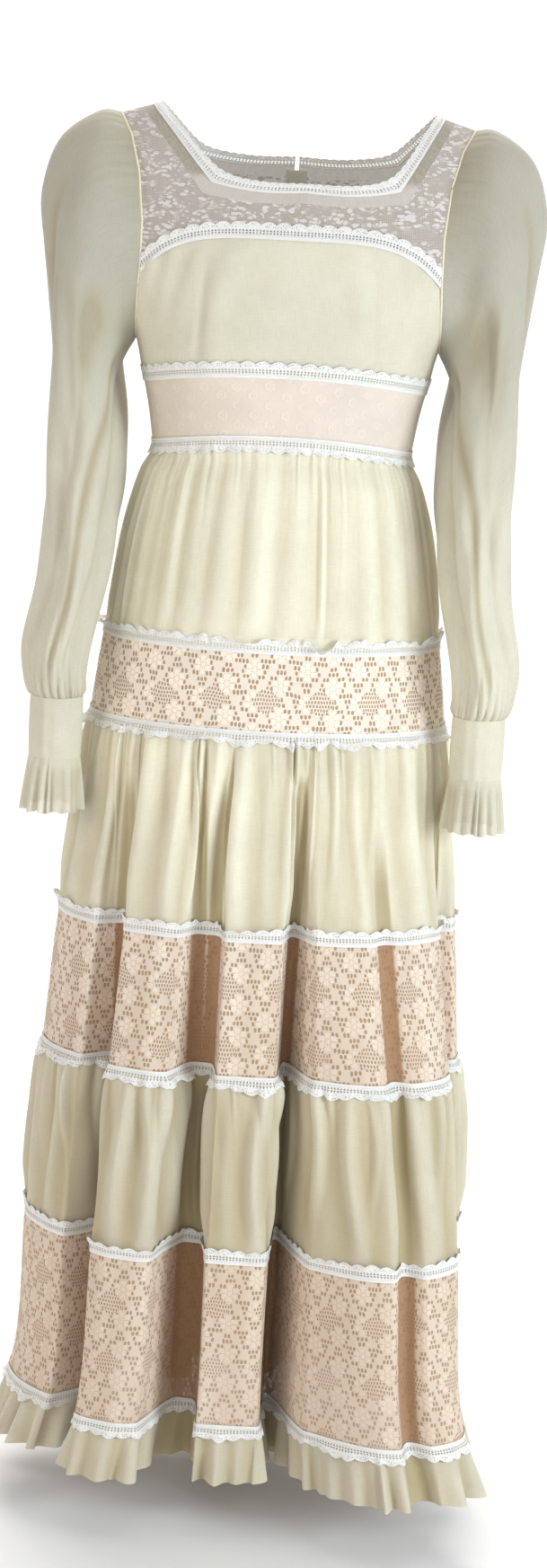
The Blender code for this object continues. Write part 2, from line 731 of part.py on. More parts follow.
def armhole_loop(pieces, sign):
    """The armhole from the shoulder tip by the front to the underarm and up the back, from its pieces."""
    back_piece = pieces["back_left"] if sign > 0 else pieces["back_right"]
    first = 0 if sign > 0 else -1
    yoke_edge_row = pieces["front"][0][-1][::sign]
    front = list(yoke_edge_row[: STRAP_STEPS + 1])
    front += [row[first] for row in pieces["front"][1][1:4]]
    back = list(back_piece[0][-1][: STRAP_STEPS + 1]) + [row[0] for row in back_piece[1][1:4]]
    return np.array(front + back[-2:0:-1])


def sleeve(name, sign, pieces):
    """A puffed sleeve from the armhole down to the cuff. It hangs a little in front of the skirt."""
    loop = armhole_loop(pieces, sign)
    top, bottom = loop[:, 2].max(), loop[:, 2].min()
    turns = np.arccos(np.clip((loop[:, 2] - (top + bottom) / 2) / ((top - bottom) / 2), -1, 1))
    behind = len(turns) // 2 + 1
    turns[behind:] = 2 * math.pi - turns[behind:]
    rings = [loop + (sign * SEAM_GAP, 0, 0)]
    for ring in SLEEVE_RINGS:
        outer = np.array((ring.outer_x, -ring.forward, ring.outer_z))
        inner = np.array((ring.inner_x, -ring.forward, ring.inner_z))
        middle, reach = (outer + inner) / 2, (outer - inner) / 2
        row = []
        for k, turn in enumerate(turns):
            wave = 1 + (-1) ** k * ring.gather / np.linalg.norm(reach)
            deep = np.array((0, ring.half_depth, 0)) * math.sin(turn)
            row.append((middle + (reach * math.cos(turn) - deep) * wave) * (sign, 1, 1))
        rings.append(row)
    rings.append(np.array(cuff_ring(CUFF_TOP + SEAM_GAP, turns, 0.0)) * (sign, 1, 1))
    wall(name, rings, VOILE, CREAM_VOILE, closed=True, level=(len(rings) - 1,))
    return rings


def cuff_ring(z, turns, wave):
    """A level ring of the cuff or its ruffle, on the left side."""
    ring = []
    for k, turn in enumerate(turns):
        out = wave * (-1) ** k
        x = CUFF_MIDDLE_X + (CUFF_HALF_WIDTH + out) * math.cos(turn)
        ring.append((x, -CUFF_FORWARD - (CUFF_HALF_DEPTH + out) * math.sin(turn), z))
    return ring


def cuff(side, sign):
    """The cuff, its ruffle and its two buttons."""
    turns = [2 * math.pi * k / CUFF_COLUMNS for k in range(CUFF_COLUMNS)]
    mirror = np.array((sign, 1, 1))
    rings = np.array([cuff_ring(z, turns, 0.0) for z in (CUFF_TOP, CUFF_BOTTOM)]) * mirror
    wall(f"cuff_{side}", rings, VOILE, CREAM_VOILE, closed=True)
    start = CUFF_BOTTOM - SEAM_GAP
    levels = ((start, 0.0004), (RUFFLE_BOTTOM, RUFFLE_WAVE))
    rings = np.array([cuff_ring(z, turns, wave) for z, wave in levels])
    flare = np.array([0.0, RUFFLE_FLARE])[:, None]
    rings[:, :, 0] += flare * np.cos(turns)
    rings[:, :, 1] -= flare * np.sin(turns)
    wall(f"wrist_ruffle_{side}", rings * mirror, VOILE, CREAM_VOILE, closed=True)
    for number, level in enumerate(BUTTON_LEVELS, 1):
        button(f"cuff_button_{side}_{number}", level, sign)


def button(name, level, sign):
    """A small domed button on a facet at the back of the cuff, just clear of the cloth."""
    step = 2 * math.pi / CUFF_COLUMNS
    ends = np.array(cuff_ring(level, [(BUTTON_FACET + h) * step for h in (-0.5, 0.5)], 0.0))
    place = ends.mean(axis=0)
    out = np.cross(ends[1] - ends[0], (0, 0, 1))
    out *= np.sign(out @ (place - (CUFF_MIDDLE_X, -CUFF_FORWARD, level))) / np.linalg.norm(out)
    mesh = bmesh.new()
    top = 0.55 * BUTTON_RADIUS
    bmesh.ops.create_cone(
        mesh, cap_ends=True, segments=12, radius1=BUTTON_RADIUS, radius2=top, depth=BUTTON_HEIGHT
    )
    made = finished(name, mesh, BUTTON_SHELL)
    made.location = (place + out * (SEAM_GAP + BUTTON_HEIGHT / 2)) * (sign, 1, 1)
    made.rotation_euler = Vector((sign * out[0], out[1], 0)).to_track_quat("Z", "Y").to_euler()
    return made


def back_line(seams, z):
    """A point of the centre-back line and its outward normal, from the panels' own edge points."""
    levels = [p[2] for p in seams]
    i = int(np.clip(np.searchsorted(-np.array(levels), -z, side="right") - 1, 0, len(seams) - 2))
    above, below = seams[i], seams[i + 1]
    t = (z - above[2]) / (below[2] - above[2])
    y = above[1] + (below[1] - above[1]) * t
    normal = np.array((0.0, above[2] - below[2], below[1] - above[1]))
    return np.array((0.0, y, z)), normal / np.linalg.norm(normal)


def zip_tape(seams):
    """Tape behind the opening with the chain standing in it, along the centre back."""
    profile = (
        (-CHAIN_HALF_WIDTH, CHAIN_PROUD),
        (CHAIN_HALF_WIDTH, CHAIN_PROUD),
        (CHAIN_HALF_WIDTH, -TAPE_DEPTH),
        (TAPE_HALF_WIDTH, -TAPE_DEPTH),
        (TAPE_HALF_WIDTH, -TAPE_DEPTH - TAPE_THICKNESS),
        (-TAPE_HALF_WIDTH, -TAPE_DEPTH - TAPE_THICKNESS),
        (-TAPE_HALF_WIDTH, -TAPE_DEPTH),
        (-CHAIN_HALF_WIDTH, -TAPE_DEPTH),
    )
    mesh = bmesh.new()
    rings = []
    levels = [ZIP_TOP] + [p[2] for p in seams if ZIP_BOTTOM + 0.004 < p[2] < ZIP_TOP - 0.004] + [ZIP_BOTTOM]
    for z in levels:
        point = back_line(seams, z)[0]
        normal = back_line(seams, z + 1e-4)[1] + back_line(seams, z - 1e-4)[1]
        normal /= np.linalg.norm(normal)
        rings.append([mesh.verts.new(point + normal * depth + np.array((x, 0, 0))) for x, depth in profile])
    for above, below in zip(rings, rings[1:]):
        for k in range(len(profile)):
            following = (k + 1) % len(profile)
            mesh.faces.new([above[k], above[following], below[following], below[k]])
    mesh.faces.new(rings[0])
    mesh.faces.new(rings[-1][::-1])
    return finished("zip_tape", mesh, ZIP_CLOTH)


def block(name, size, middle, finish, collection=None):
    """A box in the slider's own frame: X across, Y down the chain and Z out from the cloth."""
    mesh = bmesh.new()
    bmesh.ops.create_cube(mesh, size=1.0)
    bmesh.ops.scale(mesh, vec=size, verts=mesh.verts)
    bmesh.ops.translate(mesh, vec=middle, verts=mesh.verts)
    made = finished(name, mesh, finish)
    if collection:
        bpy.data.collections["lace_maxi_dress"].objects.unlink(made)
        bpy.data.collections[collection].objects.link(made)
        made.hide_render = True
        made.display_type = "WIRE"
    return made


def joined(base, other, operation):
    step = base.modifiers.new(operation.lower(), "BOOLEAN")
    step.operation = operation
    step.object = other
    step.solver = "EXACT"


def zip_slider_and_pull(seams):
    """The slider on the chain and the pull tab whose eye holds its bridge."""
    point, normal = back_line(seams, SLIDER_LEVEL)
    tilt = math.atan2(normal[2], normal[1])
    seat = CHAIN_PROUD + SEAM_GAP
    frame = bpy.data.objects.new("slider_frame", None)
    bpy.data.collections["lace_maxi_dress"].objects.link(frame)
    frame.location = point + normal * seat
    frame.rotation_euler = (tilt - math.pi / 2, 0, 0)
    size = (SLIDER_WIDTH, SLIDER_LENGTH, SLIDER_THICKNESS)
    slider = block("zip_slider", size, (0, 0, SLIDER_THICKNESS / 2), ZIP_METAL)
    bridge_top = SLIDER_THICKNESS + BRIDGE_RISE
    bridge = block(
        "bridge_block",
        (BRIDGE_WIDTH, BRIDGE_LENGTH, BRIDGE_RISE + 0.5 * SLIDER_THICKNESS),
        (0, 0, bridge_top - (BRIDGE_RISE + 0.5 * SLIDER_THICKNESS) / 2),
        ZIP_METAL,
        "cutters",
    )
    window_height = BRIDGE_RISE - BRIDGE_BAR
    window = block(
        "bridge_window",
        (2 * BRIDGE_WIDTH, BRIDGE_LENGTH - 2 * BRIDGE_BAR, window_height),
        (0, 0, SLIDER_THICKNESS + window_height / 2),
        ZIP_METAL,
        "cutters",
    )
    joined(slider, bridge, "UNION")
    joined(slider, window, "DIFFERENCE")
    axis = SLIDER_THICKNESS + PULL_AXIS_HEIGHT
    half_bar = PULL_THICKNESS / 2
    pull = block(
        "zip_pull",
        (PULL_WIDTH, PULL_LENGTH, PULL_THICKNESS),
        (0, PULL_LENGTH / 2 - half_bar, 0),
        ZIP_METAL,
    )
    eye = block(
        "pull_eye",
        (PULL_EYE_WIDTH, PULL_EYE_LENGTH, 3 * PULL_THICKNESS),
        (0, half_bar + PULL_EYE_LENGTH / 2, 0),
        ZIP_METAL,
        "cutters",
    )
    joined(pull, eye, "DIFFERENCE")
    for piece in (slider, bridge, window):
        piece.parent = frame
    for piece in (pull, eye):
        piece.parent = frame
        piece.location = (0, 0, axis)


def main():
    for existing in list(bpy.data.objects):
        bpy.data.objects.remove(existing)
    for name in ("lace_maxi_dress", "cutters"):
        made = bpy.data.collections.new(name)
        bpy.context.scene.collection.children.link(made)
    pieces = bodice()
    panel_rows = []
    back_right, front, back_left = (pieces[p][1] for p in ("back_right", "front", "back_left"))
    for right, middle, left in zip(back_right, front, back_left):
        panel_rows.append(np.vstack([right[::-1], middle[::-1][1:], left[1:]]))
    waist = waist_band()
    tier_1 = first_tier(waist)
    edging("waist_trim_top", waist, panel_rows, False, False, TRIM_CLEAR)
    edging("waist_trim_bottom", waist, [row[::2] for row in tier_1], True, False, 0.0030)
    hip_loop = [-math.pi / 2 + 2 * math.pi * k / HIP_COLUMNS for k in range(HIP_COLUMNS)]
    lace_1 = lace_band(1, LACE_1_TOP, LACE_1_BOTTOM, hip_loop)
    above = [[body_point(a, z) for a in hip_loop] for z in (LACE_1_TOP + 0.08, LACE_1_TOP)]
    edging("trim_1_top", lace_1, above, False, True, HIP_TRIM_FLIP)
    smooth_2, tier_2 = tier("tier_2", LACE_1_BOTTOM, LACE_2_TOP)
    below = [[skirt_point(a, z) for a in hip_loop] for z in (LACE_1_BOTTOM, LACE_1_BOTTOM - TRIM_FREE)]
    edging("trim_1_bottom", lace_1, below, True, True, HIP_TRIM_FLIP)
    loop = FRONT_ANGLES + BACK_ANGLES
    lace_2 = lace_band(2, LACE_2_TOP, LACE_2_BOTTOM, loop)
    edging("trim_2_top", lace_2, smooth_2, False, True, TRIM_CLEAR, tier_2)
    smooth_3, tier_3 = tier("tier_3", LACE_2_BOTTOM, LACE_3_TOP)
    edging("trim_2_bottom", lace_2, smooth_3, True, True, TRIM_CLEAR, tier_3)
    lace_3 = lace_band(3, LACE_3_TOP, LACE_3_BOTTOM, loop)
    edging("trim_3_top", lace_3, smooth_3, False, True, TRIM_CLEAR, tier_3)
    smooth_ruffle, ruffle = hem_ruffle()
    edging("trim_3_bottom", lace_3, smooth_ruffle, True, True, TRIM_CLEAR, ruffle)
    for side, sign in (("left", 1), ("right", -1)):
        sleeve(f"sleeve_{side}", sign, pieces)
        cuff(side, sign)
    seams = [row[-1] for row in pieces["back_left"][0]] + [row[-1] for row in pieces["back_left"][1]]
    seams = [bodice_point(0.0, ZIP_TOP + 0.001, 1)] + seams
    seams += [row[-1] for row in waist] + [row[-1] for row in tier_1]
    zip_tape(seams)
    zip_slider_and_pull(seams)


main()
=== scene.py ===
"""The looks of a tiered lace maxi dress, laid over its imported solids.

Metres. The front faces -Y, +X is the wearer's left side and the shoulder line is at height 0.
Every sheet of cloth is a fine grid over the same surface that the solids are cut from.
"""

import math

import bmesh
import bpy
import numpy as np
from bpy.props import FloatProperty, FloatVectorProperty, PointerProperty
from mathutils import Matrix, Vector

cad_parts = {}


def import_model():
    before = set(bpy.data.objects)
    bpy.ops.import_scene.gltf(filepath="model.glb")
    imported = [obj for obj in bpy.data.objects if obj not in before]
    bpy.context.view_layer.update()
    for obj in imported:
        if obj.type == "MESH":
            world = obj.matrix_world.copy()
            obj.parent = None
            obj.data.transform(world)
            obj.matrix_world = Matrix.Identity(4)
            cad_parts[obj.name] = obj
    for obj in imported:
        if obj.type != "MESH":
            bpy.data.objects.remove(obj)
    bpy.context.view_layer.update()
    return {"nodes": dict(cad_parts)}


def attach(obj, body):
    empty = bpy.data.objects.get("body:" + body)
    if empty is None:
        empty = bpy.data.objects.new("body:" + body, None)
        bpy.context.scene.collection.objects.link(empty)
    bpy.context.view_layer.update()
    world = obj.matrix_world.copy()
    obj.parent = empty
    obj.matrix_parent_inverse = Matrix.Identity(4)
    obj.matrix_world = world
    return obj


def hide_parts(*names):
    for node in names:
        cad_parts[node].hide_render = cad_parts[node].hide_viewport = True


bl_info = {
    "name": "Tiered lace maxi dress",
    "version": (1, 0, 0),
    "blender": (4, 5, 0),
    "location": "3D View > Sidebar > Lace Dress",
    "description": "Fine cloth, lace, edgings, zip and buttons for the tiered maxi dress",
    "category": "Object",
}

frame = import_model()
DRESS = "dress"
SIDES = (("left", 1), ("right", -1))
TURN = 2 * math.pi

# Levels of the seams, the same as in the part's source
UNDERARM = -0.235
WAIST_LACE_TOP = -0.262
WAIST_LACE_BOTTOM = -0.328
WAIST_SIDE_DROP = 0.014
LACE_1_TOP = -0.536
LACE_1_BOTTOM = -0.622
LACE_2_TOP = -0.832
LACE_2_BOTTOM = -0.978
LACE_3_TOP = -1.166
LACE_3_BOTTOM = -1.350
HEM = -1.408
TRIM_OVERLAP = 0.004
TRIM_FREE = 0.0135
ARCH_TRIM_FREE = 0.0125
EDGING_ROWS = np.linspace(0, TRIM_OVERLAP + TRIM_FREE, 9)
EDGING_FLIP = 0.020

# Body sections: level, half width, depth in front and behind, how square the outline is
SECTIONS = np.array((
    (0.000, 0.215, 0.000, 0.000, 2.4),
    (-0.010, 0.215, 0.032, 0.034, 2.4),
    (-0.030, 0.215, 0.054, 0.058, 2.4),
    (-0.060, 0.215, 0.073, 0.079, 2.4),
    (-0.090, 0.214, 0.087, 0.093, 2.4),
    (-0.127, 0.208, 0.102, 0.102, 2.4),
    (-0.165, 0.192, 0.115, 0.104, 2.4),
    (-0.200, 0.170, 0.122, 0.100, 2.4),
    (-0.235, 0.155, 0.121, 0.094, 2.4),
    (-0.265, 0.148, 0.113, 0.089, 2.35),
    (-0.300, 0.140, 0.103, 0.086, 2.3),
    (-0.347, 0.1325, 0.096, 0.086, 2.25),
    (-0.370, 0.141, 0.103, 0.095, 2.2),
    (-0.405, 0.151, 0.110, 0.106, 2.15),
    (-0.490, 0.167, 0.122, 0.123, 2.1),
    (-0.545, 0.176, 0.124, 0.131, 2.05),
    (-0.635, 0.187, 0.127, 0.141, 2.0),
    (-0.720, 0.195, 0.129, 0.149, 2.0),
    (-0.838, 0.210, 0.132, 0.160, 2.0),
    (-0.987, 0.2215, 0.142, 0.173, 2.0),
    (-1.172, 0.233, 0.158, 0.188, 2.0),
    (-1.355, 0.2445, 0.155, 0.202, 2.0),
    (-1.410, 0.260, 0.164, 0.216, 2.0),
))
# The rows down to the waist are smoothed by themselves
BODICE_ROWS = 12

# Shoulder strap, necklines and armholes, in the front elevation
STRAP_SLOPE = 0.30
STRAP_BLEND = 0.12
NECK_HALF_WIDTH = 0.138
SHOULDER_TIP = 0.179
ARCH_MIDDLE = -0.127
ARCH_DROP = 0.039
ARCH_CORNER = 0.150
ARCH_POWER = 4.5
STRAP_END = -STRAP_SLOPE * (SHOULDER_TIP - NECK_HALF_WIDTH)
ARMHOLE_LEVELS = (UNDERARM, -0.205, -0.165, -0.120, -0.070, -0.035, STRAP_END)
NECK_LEAN = 0.011
EDGING_WIDTH = 0.012
INSERT_END = 0.020

# Hanging folds of the skirt: angle, half width, depth at the hem and flatness of the trough
FOLDS = (
    (-162, 9.0, 0.080, 2),
    (-131, 9.0, 0.075, 2),
    (-101, 8.0, 0.055, 2),
    (-46, 7.0, 0.070, 2),
    (-15, 7.0, 0.070, 4),
    (12, 5.5, 0.100, 2),
    (38, 5.5, 0.020, 2),
    (70, 7.5, 0.055, 2),
    (101, 8.0, 0.060, 2),
    (138, 9.0, 0.075, 2),
    (174, 8.0, 0.060, 2),
)
LOBES = ((-31, 14.0, 0.030, 4), (43, 29.0, 0.088, 4))
FOLD_GROWTH_LEVELS = (HEM, LACE_3_TOP, LACE_2_BOTTOM, LACE_2_TOP, -0.720, -0.660, LACE_1_BOTTOM)
FOLD_GROWTH_SHARES = (1.0, 0.86, 0.64, 0.36, 0.13, 0.03, 0.0)

# Sleeve rings: outer and inner edge in the front elevation, half depth, how far forward
SLEEVE_RINGS = (
    (0.200, -0.011, 0.160, -0.250, 0.086, 0.002),
    (0.234, -0.034, 0.162, -0.266, 0.091, 0.006),
    (0.257, -0.088, 0.163, -0.287, 0.088, 0.012),
    (0.2585, -0.150, 0.162, -0.318, 0.079, 0.020),
    (0.2500, -0.250, 0.162, -0.372, 0.068, 0.033),
    (0.2420, -0.370, 0.165, -0.438, 0.059, 0.048),
    (0.2410, -0.475, 0.173, -0.505, 0.057, 0.060),
    (0.2520, -0.558, 0.184, -0.566, 0.055, 0.069),
    (0.2460, -0.590, 0.1895, -0.592, 0.042, 0.070),
)
HEAD_GATHER = 0.0034
WRIST_GATHER = 0.0062
LONG_FOLD = 0.0095
FINE_FOLD = 0.0018
# Slanting creases of the sleeve, dented in and painted with shade: turn from the first one, and strength
STREAKS = ((0.0, 1.0), (0.55, 0.6), (-0.6, 0.45))
CUFF_TOP = -0.600
CUFF_BOTTOM = -0.662
CUFF_HALF_WIDTH = 0.0265
CUFF_HALF_DEPTH = 0.0300
CUFF_MIDDLE_X = 0.2165
CUFF_FORWARD = 0.070
RUFFLE_BOTTOM = -0.718
BUTTON_LEVELS = (-0.616, -0.644)
BUTTON_TURN = -3.5 * math.pi / 8

# Button's outline from its raised rim's inner side to its back: radius and height
BUTTON_PROFILE = (
    (0.0016, 0.0012),
    (0.0028, 0.0014),
    (0.0036, 0.0020),
    (0.0043, 0.0021),
    (0.0049, 0.0015),
    (0.0050, 0.0006),
    (0.0046, 0.0),
)
BUTTON_MIDDLE_HEIGHT = 0.0012
BUTTON_SEGMENTS = 32

ZIP_TOP = -0.060
ZIP_BOTTOM = -0.522
ZIP_OPENING = 0.0022
ZIP_HALF_WIDTH = 0.011
TAPE_INSET = 0.0022
TOOTH_PITCH = 0.0011
TOOTH_SIZE = (0.0020, 0.0014, 0.00075)
TOOTH_STAGGER = 0.0006

# Columns round each piece, and rows or sides of the small ones
SKIRT_COLUMNS = 1200
TIER_1_COLUMNS = 960
WAIST_COLUMNS = 480
SLEEVE_COLUMNS = 240
CUFF_COLUMNS = 144
CUFF_ROWS = 16
YOKE_COUNT = 46
CORD_SIDES = 6
AROUND = np.arange(SKIRT_COLUMNS) / SKIRT_COLUMNS

# Gathers: least lift that gets painted shade in its creases, each tier's share of the gather depth, and the
# first tier's share of that painted shade
LEAST_SHADED_LIFT = 0.0005
FIRST_TIER_SHARE = 0.62
FIRST_TIER_CREASE_SHADE = 0.62
THIRD_TIER_SHARE = 1.3

# Fixed tones of the finishes: painted shade towards the hem, painted grey shade over a sleeve's top, and
# the yoke's petals; and the lace's column distance in motif lengths
HEM_SHADE = (0.42, 0.36, 0.28)
SLEEVE_HEAD_SHADE = (0.36, 0.34, 0.28)
YOKE_DAB = (0.68, 0.63, 0.60)
COLUMN_SHARE = 0.82

# Studio: the lamps' place, aim, size, power and colour, and the camera at the photo's angle
FLOOR_LEVEL = -1.475
DRESS_MIDDLE = (0.0, 0.0, -0.7)
COOL, WARM = (0.84, 0.93, 1.0), (1.0, 0.98, 0.95)
LAMPS = (
    ("key_light", (2.3, -1.9, -0.20), DRESS_MIDDLE, 1.1, 64.0, COOL),
    ("fill_light", (-2.4, -2.2, 0.1), DRESS_MIDDLE, 1.6, 34.0, WARM),
    ("top_light", (0.2, -0.6, 2.4), DRESS_MIDDLE, 1.6, 12.0, WARM),
    ("floor_light", (0.0, 3.2, 2.6), (0.0, 3.2, FLOOR_LEVEL), 3.5, 240.0, WARM),
)
CAMERA_PLACE = (0.010, -3.2, -0.107)
CAMERA_DOWN = 10.4
CAMERA_ROLL = 3.07
CAMERA_LENS = 71.05


class CreamCloth(bpy.types.PropertyGroup):
    """Colours and density of the voile."""

    color: FloatVectorProperty(
        name="Voile colour", description="Cream of the voile", subtype="COLOR", size=3,
        default=(0.86, 0.815, 0.65), min=0, max=1,
    )
    # Painted shade: the colour that creases, fold valleys and recesses are darkened towards
    crease_shade_color: FloatVectorProperty(
        name="Fold colour", description="Deeper cream down in the creases", subtype="COLOR", size=3,
        default=(0.46, 0.37, 0.20), min=0, max=1,
    )
    sleeve_density: FloatProperty(
        name="Sleeve density", description="How much the sheer sleeves cover", subtype="FACTOR",
        default=0.90, min=0, max=1,
    )
    skirt_density: FloatProperty(
        name="Skirt density", description="How much the tiers cover", subtype="FACTOR",
        default=0.93, min=0, max=1,
    )


class LaceCloth(bpy.types.PropertyGroup):
    """Colours and motif sizes of the laces."""

    color: FloatVectorProperty(
        name="Lace colour", description="Peach of the insertion lace", subtype="COLOR", size=3,
        default=(0.85, 0.735, 0.62), min=0, max=1,
    )
    waist_color: FloatVectorProperty(
        name="Waist lace colour", description="Pale pink cream of the waist lace", subtype="COLOR", size=3,
        default=(0.78, 0.68, 0.585), min=0, max=1,
    )
    yoke_color: FloatVectorProperty(
        name="Yoke colour", description="Pinkish white of the yoke lace", subtype="COLOR", size=3,
        default=(0.80, 0.71, 0.64), min=0, max=1,
    )
    edging_color: FloatVectorProperty(
        name="Edging colour", description="White of the scalloped edgings", subtype="COLOR", size=3,
        default=(0.84, 0.83, 0.80), min=0, max=1,
    )
    motif: FloatProperty(
        name="Motif", description="Distance between the flowers of the band lace",
        subtype="DISTANCE", unit="LENGTH", default=0.033, min=0.01, max=0.1,
    )
    scallop: FloatProperty(
        name="Scallop", description="Length of one scallop of the edging",
        subtype="DISTANCE", unit="LENGTH", default=0.015, min=0.005, max=0.05,
    )


class SkirtFullness(bpy.types.PropertyGroup):
    """How full the gathers of the skirt are."""

    depth: FloatProperty(
        name="Gather depth", description="Depth of a gather below the seam",
        subtype="DISTANCE", unit="LENGTH", default=0.0085, min=0, max=0.02,
    )
    hem_wave: FloatProperty(
        name="Hem wave", description="Depth of the hem ruffle's waves", subtype="DISTANCE", unit="LENGTH",
        default=0.0125, min=0, max=0.02,
    )


def unit(vectors):
    """The vectors at a length of 1."""
    return vectors / np.maximum(np.linalg.norm(vectors, axis=-1, keepdims=True), 1e-12)


def level_normals(step):
    """Level directions to the right of each step along a line."""
    return unit(np.stack([step[:, 1], -step[:, 0], 0 * step[:, 0]], axis=1))


def run_of(steps):
    """Distance reached after each step, from 0."""
    return np.concatenate([[0.0], np.cumsum(steps)])


def curve_between(values, slopes, i, t, span):
    """Smooth curve through values with their slopes, at a share t of the span that follows place i."""
    curve = values[i] * (1 + 2 * t) * (1 - t) ** 2 + values[i + 1] * (3 - 2 * t) * t * t
    return curve + span * (slopes[i] * t * (1 - t) ** 2 - slopes[i + 1] * (1 - t) * t * t)


def smooth_columns():
    """Slopes for a smooth curve through the sections, spaced by the square root of their drop."""
    drop = np.sqrt(-SECTIONS[:, 0])
    values = SECTIONS[:, 1:]
    slopes = np.gradient(values, drop, axis=0)
    slopes[:BODICE_ROWS] = np.gradient(values[:BODICE_ROWS], drop[:BODICE_ROWS], axis=0)
    return drop, values, slopes


DROP, VALUES, SLOPES = smooth_columns()


def sections_at(z):
    """Half width, front depth, back depth and power of the body at each level."""
    s = np.sqrt(np.maximum(-z, 0.0))
    i = np.clip(np.searchsorted(DROP, s) - 1, 0, len(DROP) - 2)
    span = (DROP[i + 1] - DROP[i])[..., None]
    t = (s - DROP[i])[..., None] / span
    return np.moveaxis(curve_between(VALUES, SLOPES, i, t, span), -1, 0)


def strap_level(x):
    """Height of the shoulder line, which falls towards the arm."""
    return -STRAP_SLOPE * np.maximum(np.abs(x) - NECK_HALF_WIDTH, 0.0)


def bodice_points(x, z, side):
    """Points of the bodice from their front elevation. side is -1 in front and 1 behind."""
    x, z = np.broadcast_arrays(np.asarray(x, float), np.asarray(z, float))
    level = strap_level(x)
    lowered = level * np.maximum(0.0, 1 + (z - level) / STRAP_BLEND)
    half_width, front, back, power = sections_at(np.minimum(z - lowered, 0.0))
    depth = np.where(np.asarray(side) < 0, front, back)
    share = np.minimum(np.abs(x) / half_width, 1.0)
    return np.stack([x, side * depth * (1 - share**power) ** (1 / power), z], axis=-1)


def armhole_x(z):
    """Half distance between the armholes at each level; below them, the side seam."""
    widths = (sections_at(np.array(UNDERARM))[0], 0.1525, ARCH_CORNER, 0.150, 0.156, 0.166, SHOULDER_TIP)
    return np.where(z <= UNDERARM, sections_at(z)[0], np.interp(z, ARMHOLE_LEVELS, widths))


def arch_z(x):
    """The yoke seam, nearly level in the middle and falling to the armholes."""
    return ARCH_MIDDLE - ARCH_DROP * (np.abs(x) / ARCH_CORNER) ** ARCH_POWER


def waist_z(level, angle):
    """A waist seam, which dips a little at the sides."""
    return level - WAIST_SIDE_DROP * np.sin(angle) ** 2


def body_points(angle, z):
    """Points of the body surface between the armholes. Angle 0 is the front, pi the back."""
    angle, z = np.broadcast_arrays(np.asarray(angle, float), np.asarray(z, float))
    s = np.sin(angle)
    share = np.sign(s) * np.abs(s) ** (2 / sections_at(z)[3])
    return bodice_points(share * armhole_x(z), z, np.where(np.cos(angle) > 0, -1, 1))


def bell(offset, flatness):
    """A smooth bump: 1 at no offset, 0 from an offset of 1."""
    return np.where(np.abs(offset) < 1, (1 - np.minimum(np.abs(offset), 1) ** flatness) ** 2, 0.0)


def around(angle, place, half_width, flatness):
    """How strongly a fold at a place in degrees acts at each angle round the skirt, from 0 to 1."""
    return bell(((np.degrees(angle) - place + 180) % 360 - 180) / half_width, flatness)


def inward_at(angle, z):
    """Level direction in which a fold is pressed."""
    mouth = body_points(math.radians(angle), z)
    return unit(mouth * (-0.45, -1, 0))


def skirt_points(angle, z):
    """Points of the skirt, with the large folds that grow towards the hem."""
    angle, z = np.broadcast_arrays(np.asarray(angle, float), np.asarray(z, float))
    points = body_points(angle, z)
    grown = np.interp(z, FOLD_GROWTH_LEVELS, FOLD_GROWTH_SHARES)
    for place, half_width, depth, flatness in FOLDS:
        pressed = around(angle, place, half_width, flatness)
        points = points + inward_at(place, z) * (depth * grown * pressed)[..., None]
    for place, half_width, out, flatness in LOBES:
        raised = around(angle, place, half_width, flatness)
        points = points - inward_at(place, z) * (out * grown**2 * raised)[..., None]
    return points


def lengths(points, closed=False):
    """Distance along a line of points, from 0."""
    if closed:
        points = np.vstack([points, points[:1]])
    return run_of(np.linalg.norm(np.diff(points, axis=0), axis=1))


def skirt_columns():
    """Column angles round the skirt, closer together where the folds need them."""
    dense = np.linspace(-math.pi / 2, 1.5 * math.pi, 6001)
    run = lengths(skirt_points(dense, LACE_3_TOP))
    share = 0.7 * run / run[-1] + 0.3 * (dense - dense[0]) / TURN
    return np.interp(AROUND, share, dense)


SKIRT_ANGLES = skirt_columns()


def pleats(seed, count, sharpness=0.8):
    """Irregular gathers: round crests between creases, from 0 to 1, for places from 0 to 1."""
    rng = np.random.default_rng(seed)
    widths = rng.uniform(0.4, 1.9, count)
    widths /= widths.sum()
    edges = run_of(widths)
    heights = rng.uniform(0.12, 1.0, count)

    def wave(u):
        i = np.clip(np.searchsorted(edges, u % 1, side="right") - 1, 0, count - 1)
        t = np.clip((u % 1 - edges[i]) / widths[i], 0, 1)
        return heights[i] * np.sin(math.pi * t) ** sharpness

    return wave


def ripple(seed, count):
    """A smooth uneven wave from -1 to 1 that closes on itself, for places from 0 to 1."""
    rng = np.random.default_rng(seed)
    terms = [(rng.integers(max(1, count // 2), 2 * count), rng.uniform(0, TURN)) for _ in range(6)]

    def wave(u):
        return sum(np.sin(TURN * n * u + phase) for n, phase in terms) / 3.4

    return wave


def recess_shade_at(angle, z):
    """Painted shade of the large folds' recesses: how far down in one of them each place is, from 0 to 1.
    """
    deepest = np.zeros(np.shape(angle))
    for place, half_width, depth, flatness in FOLDS:
        share = min(max(depth - 0.03, 0.0) / 0.04, 1.0)
        deepest = np.maximum(deepest, around(angle, place, half_width, flatness) * share)
    return deepest * np.interp(z, FOLD_GROWTH_LEVELS, FOLD_GROWTH_SHARES)


def ring_normals(ring):
    """Level outward normals of a closed ring of points, and how tightly it is bent inwards."""
    step = np.roll(ring, -1, axis=0) - np.roll(ring, 1, axis=0)
    normal = level_normals(step)
    turned = np.roll(normal, -1, axis=0) - np.roll(normal, 1, axis=0)
    bend = -(turned * step).sum(axis=1) / np.maximum((step * step).sum(axis=1), 1e-12)
    spread = np.stack([np.roll(bend, k) for k in range(-3, 4)]).max(axis=0)
    return normal, spread


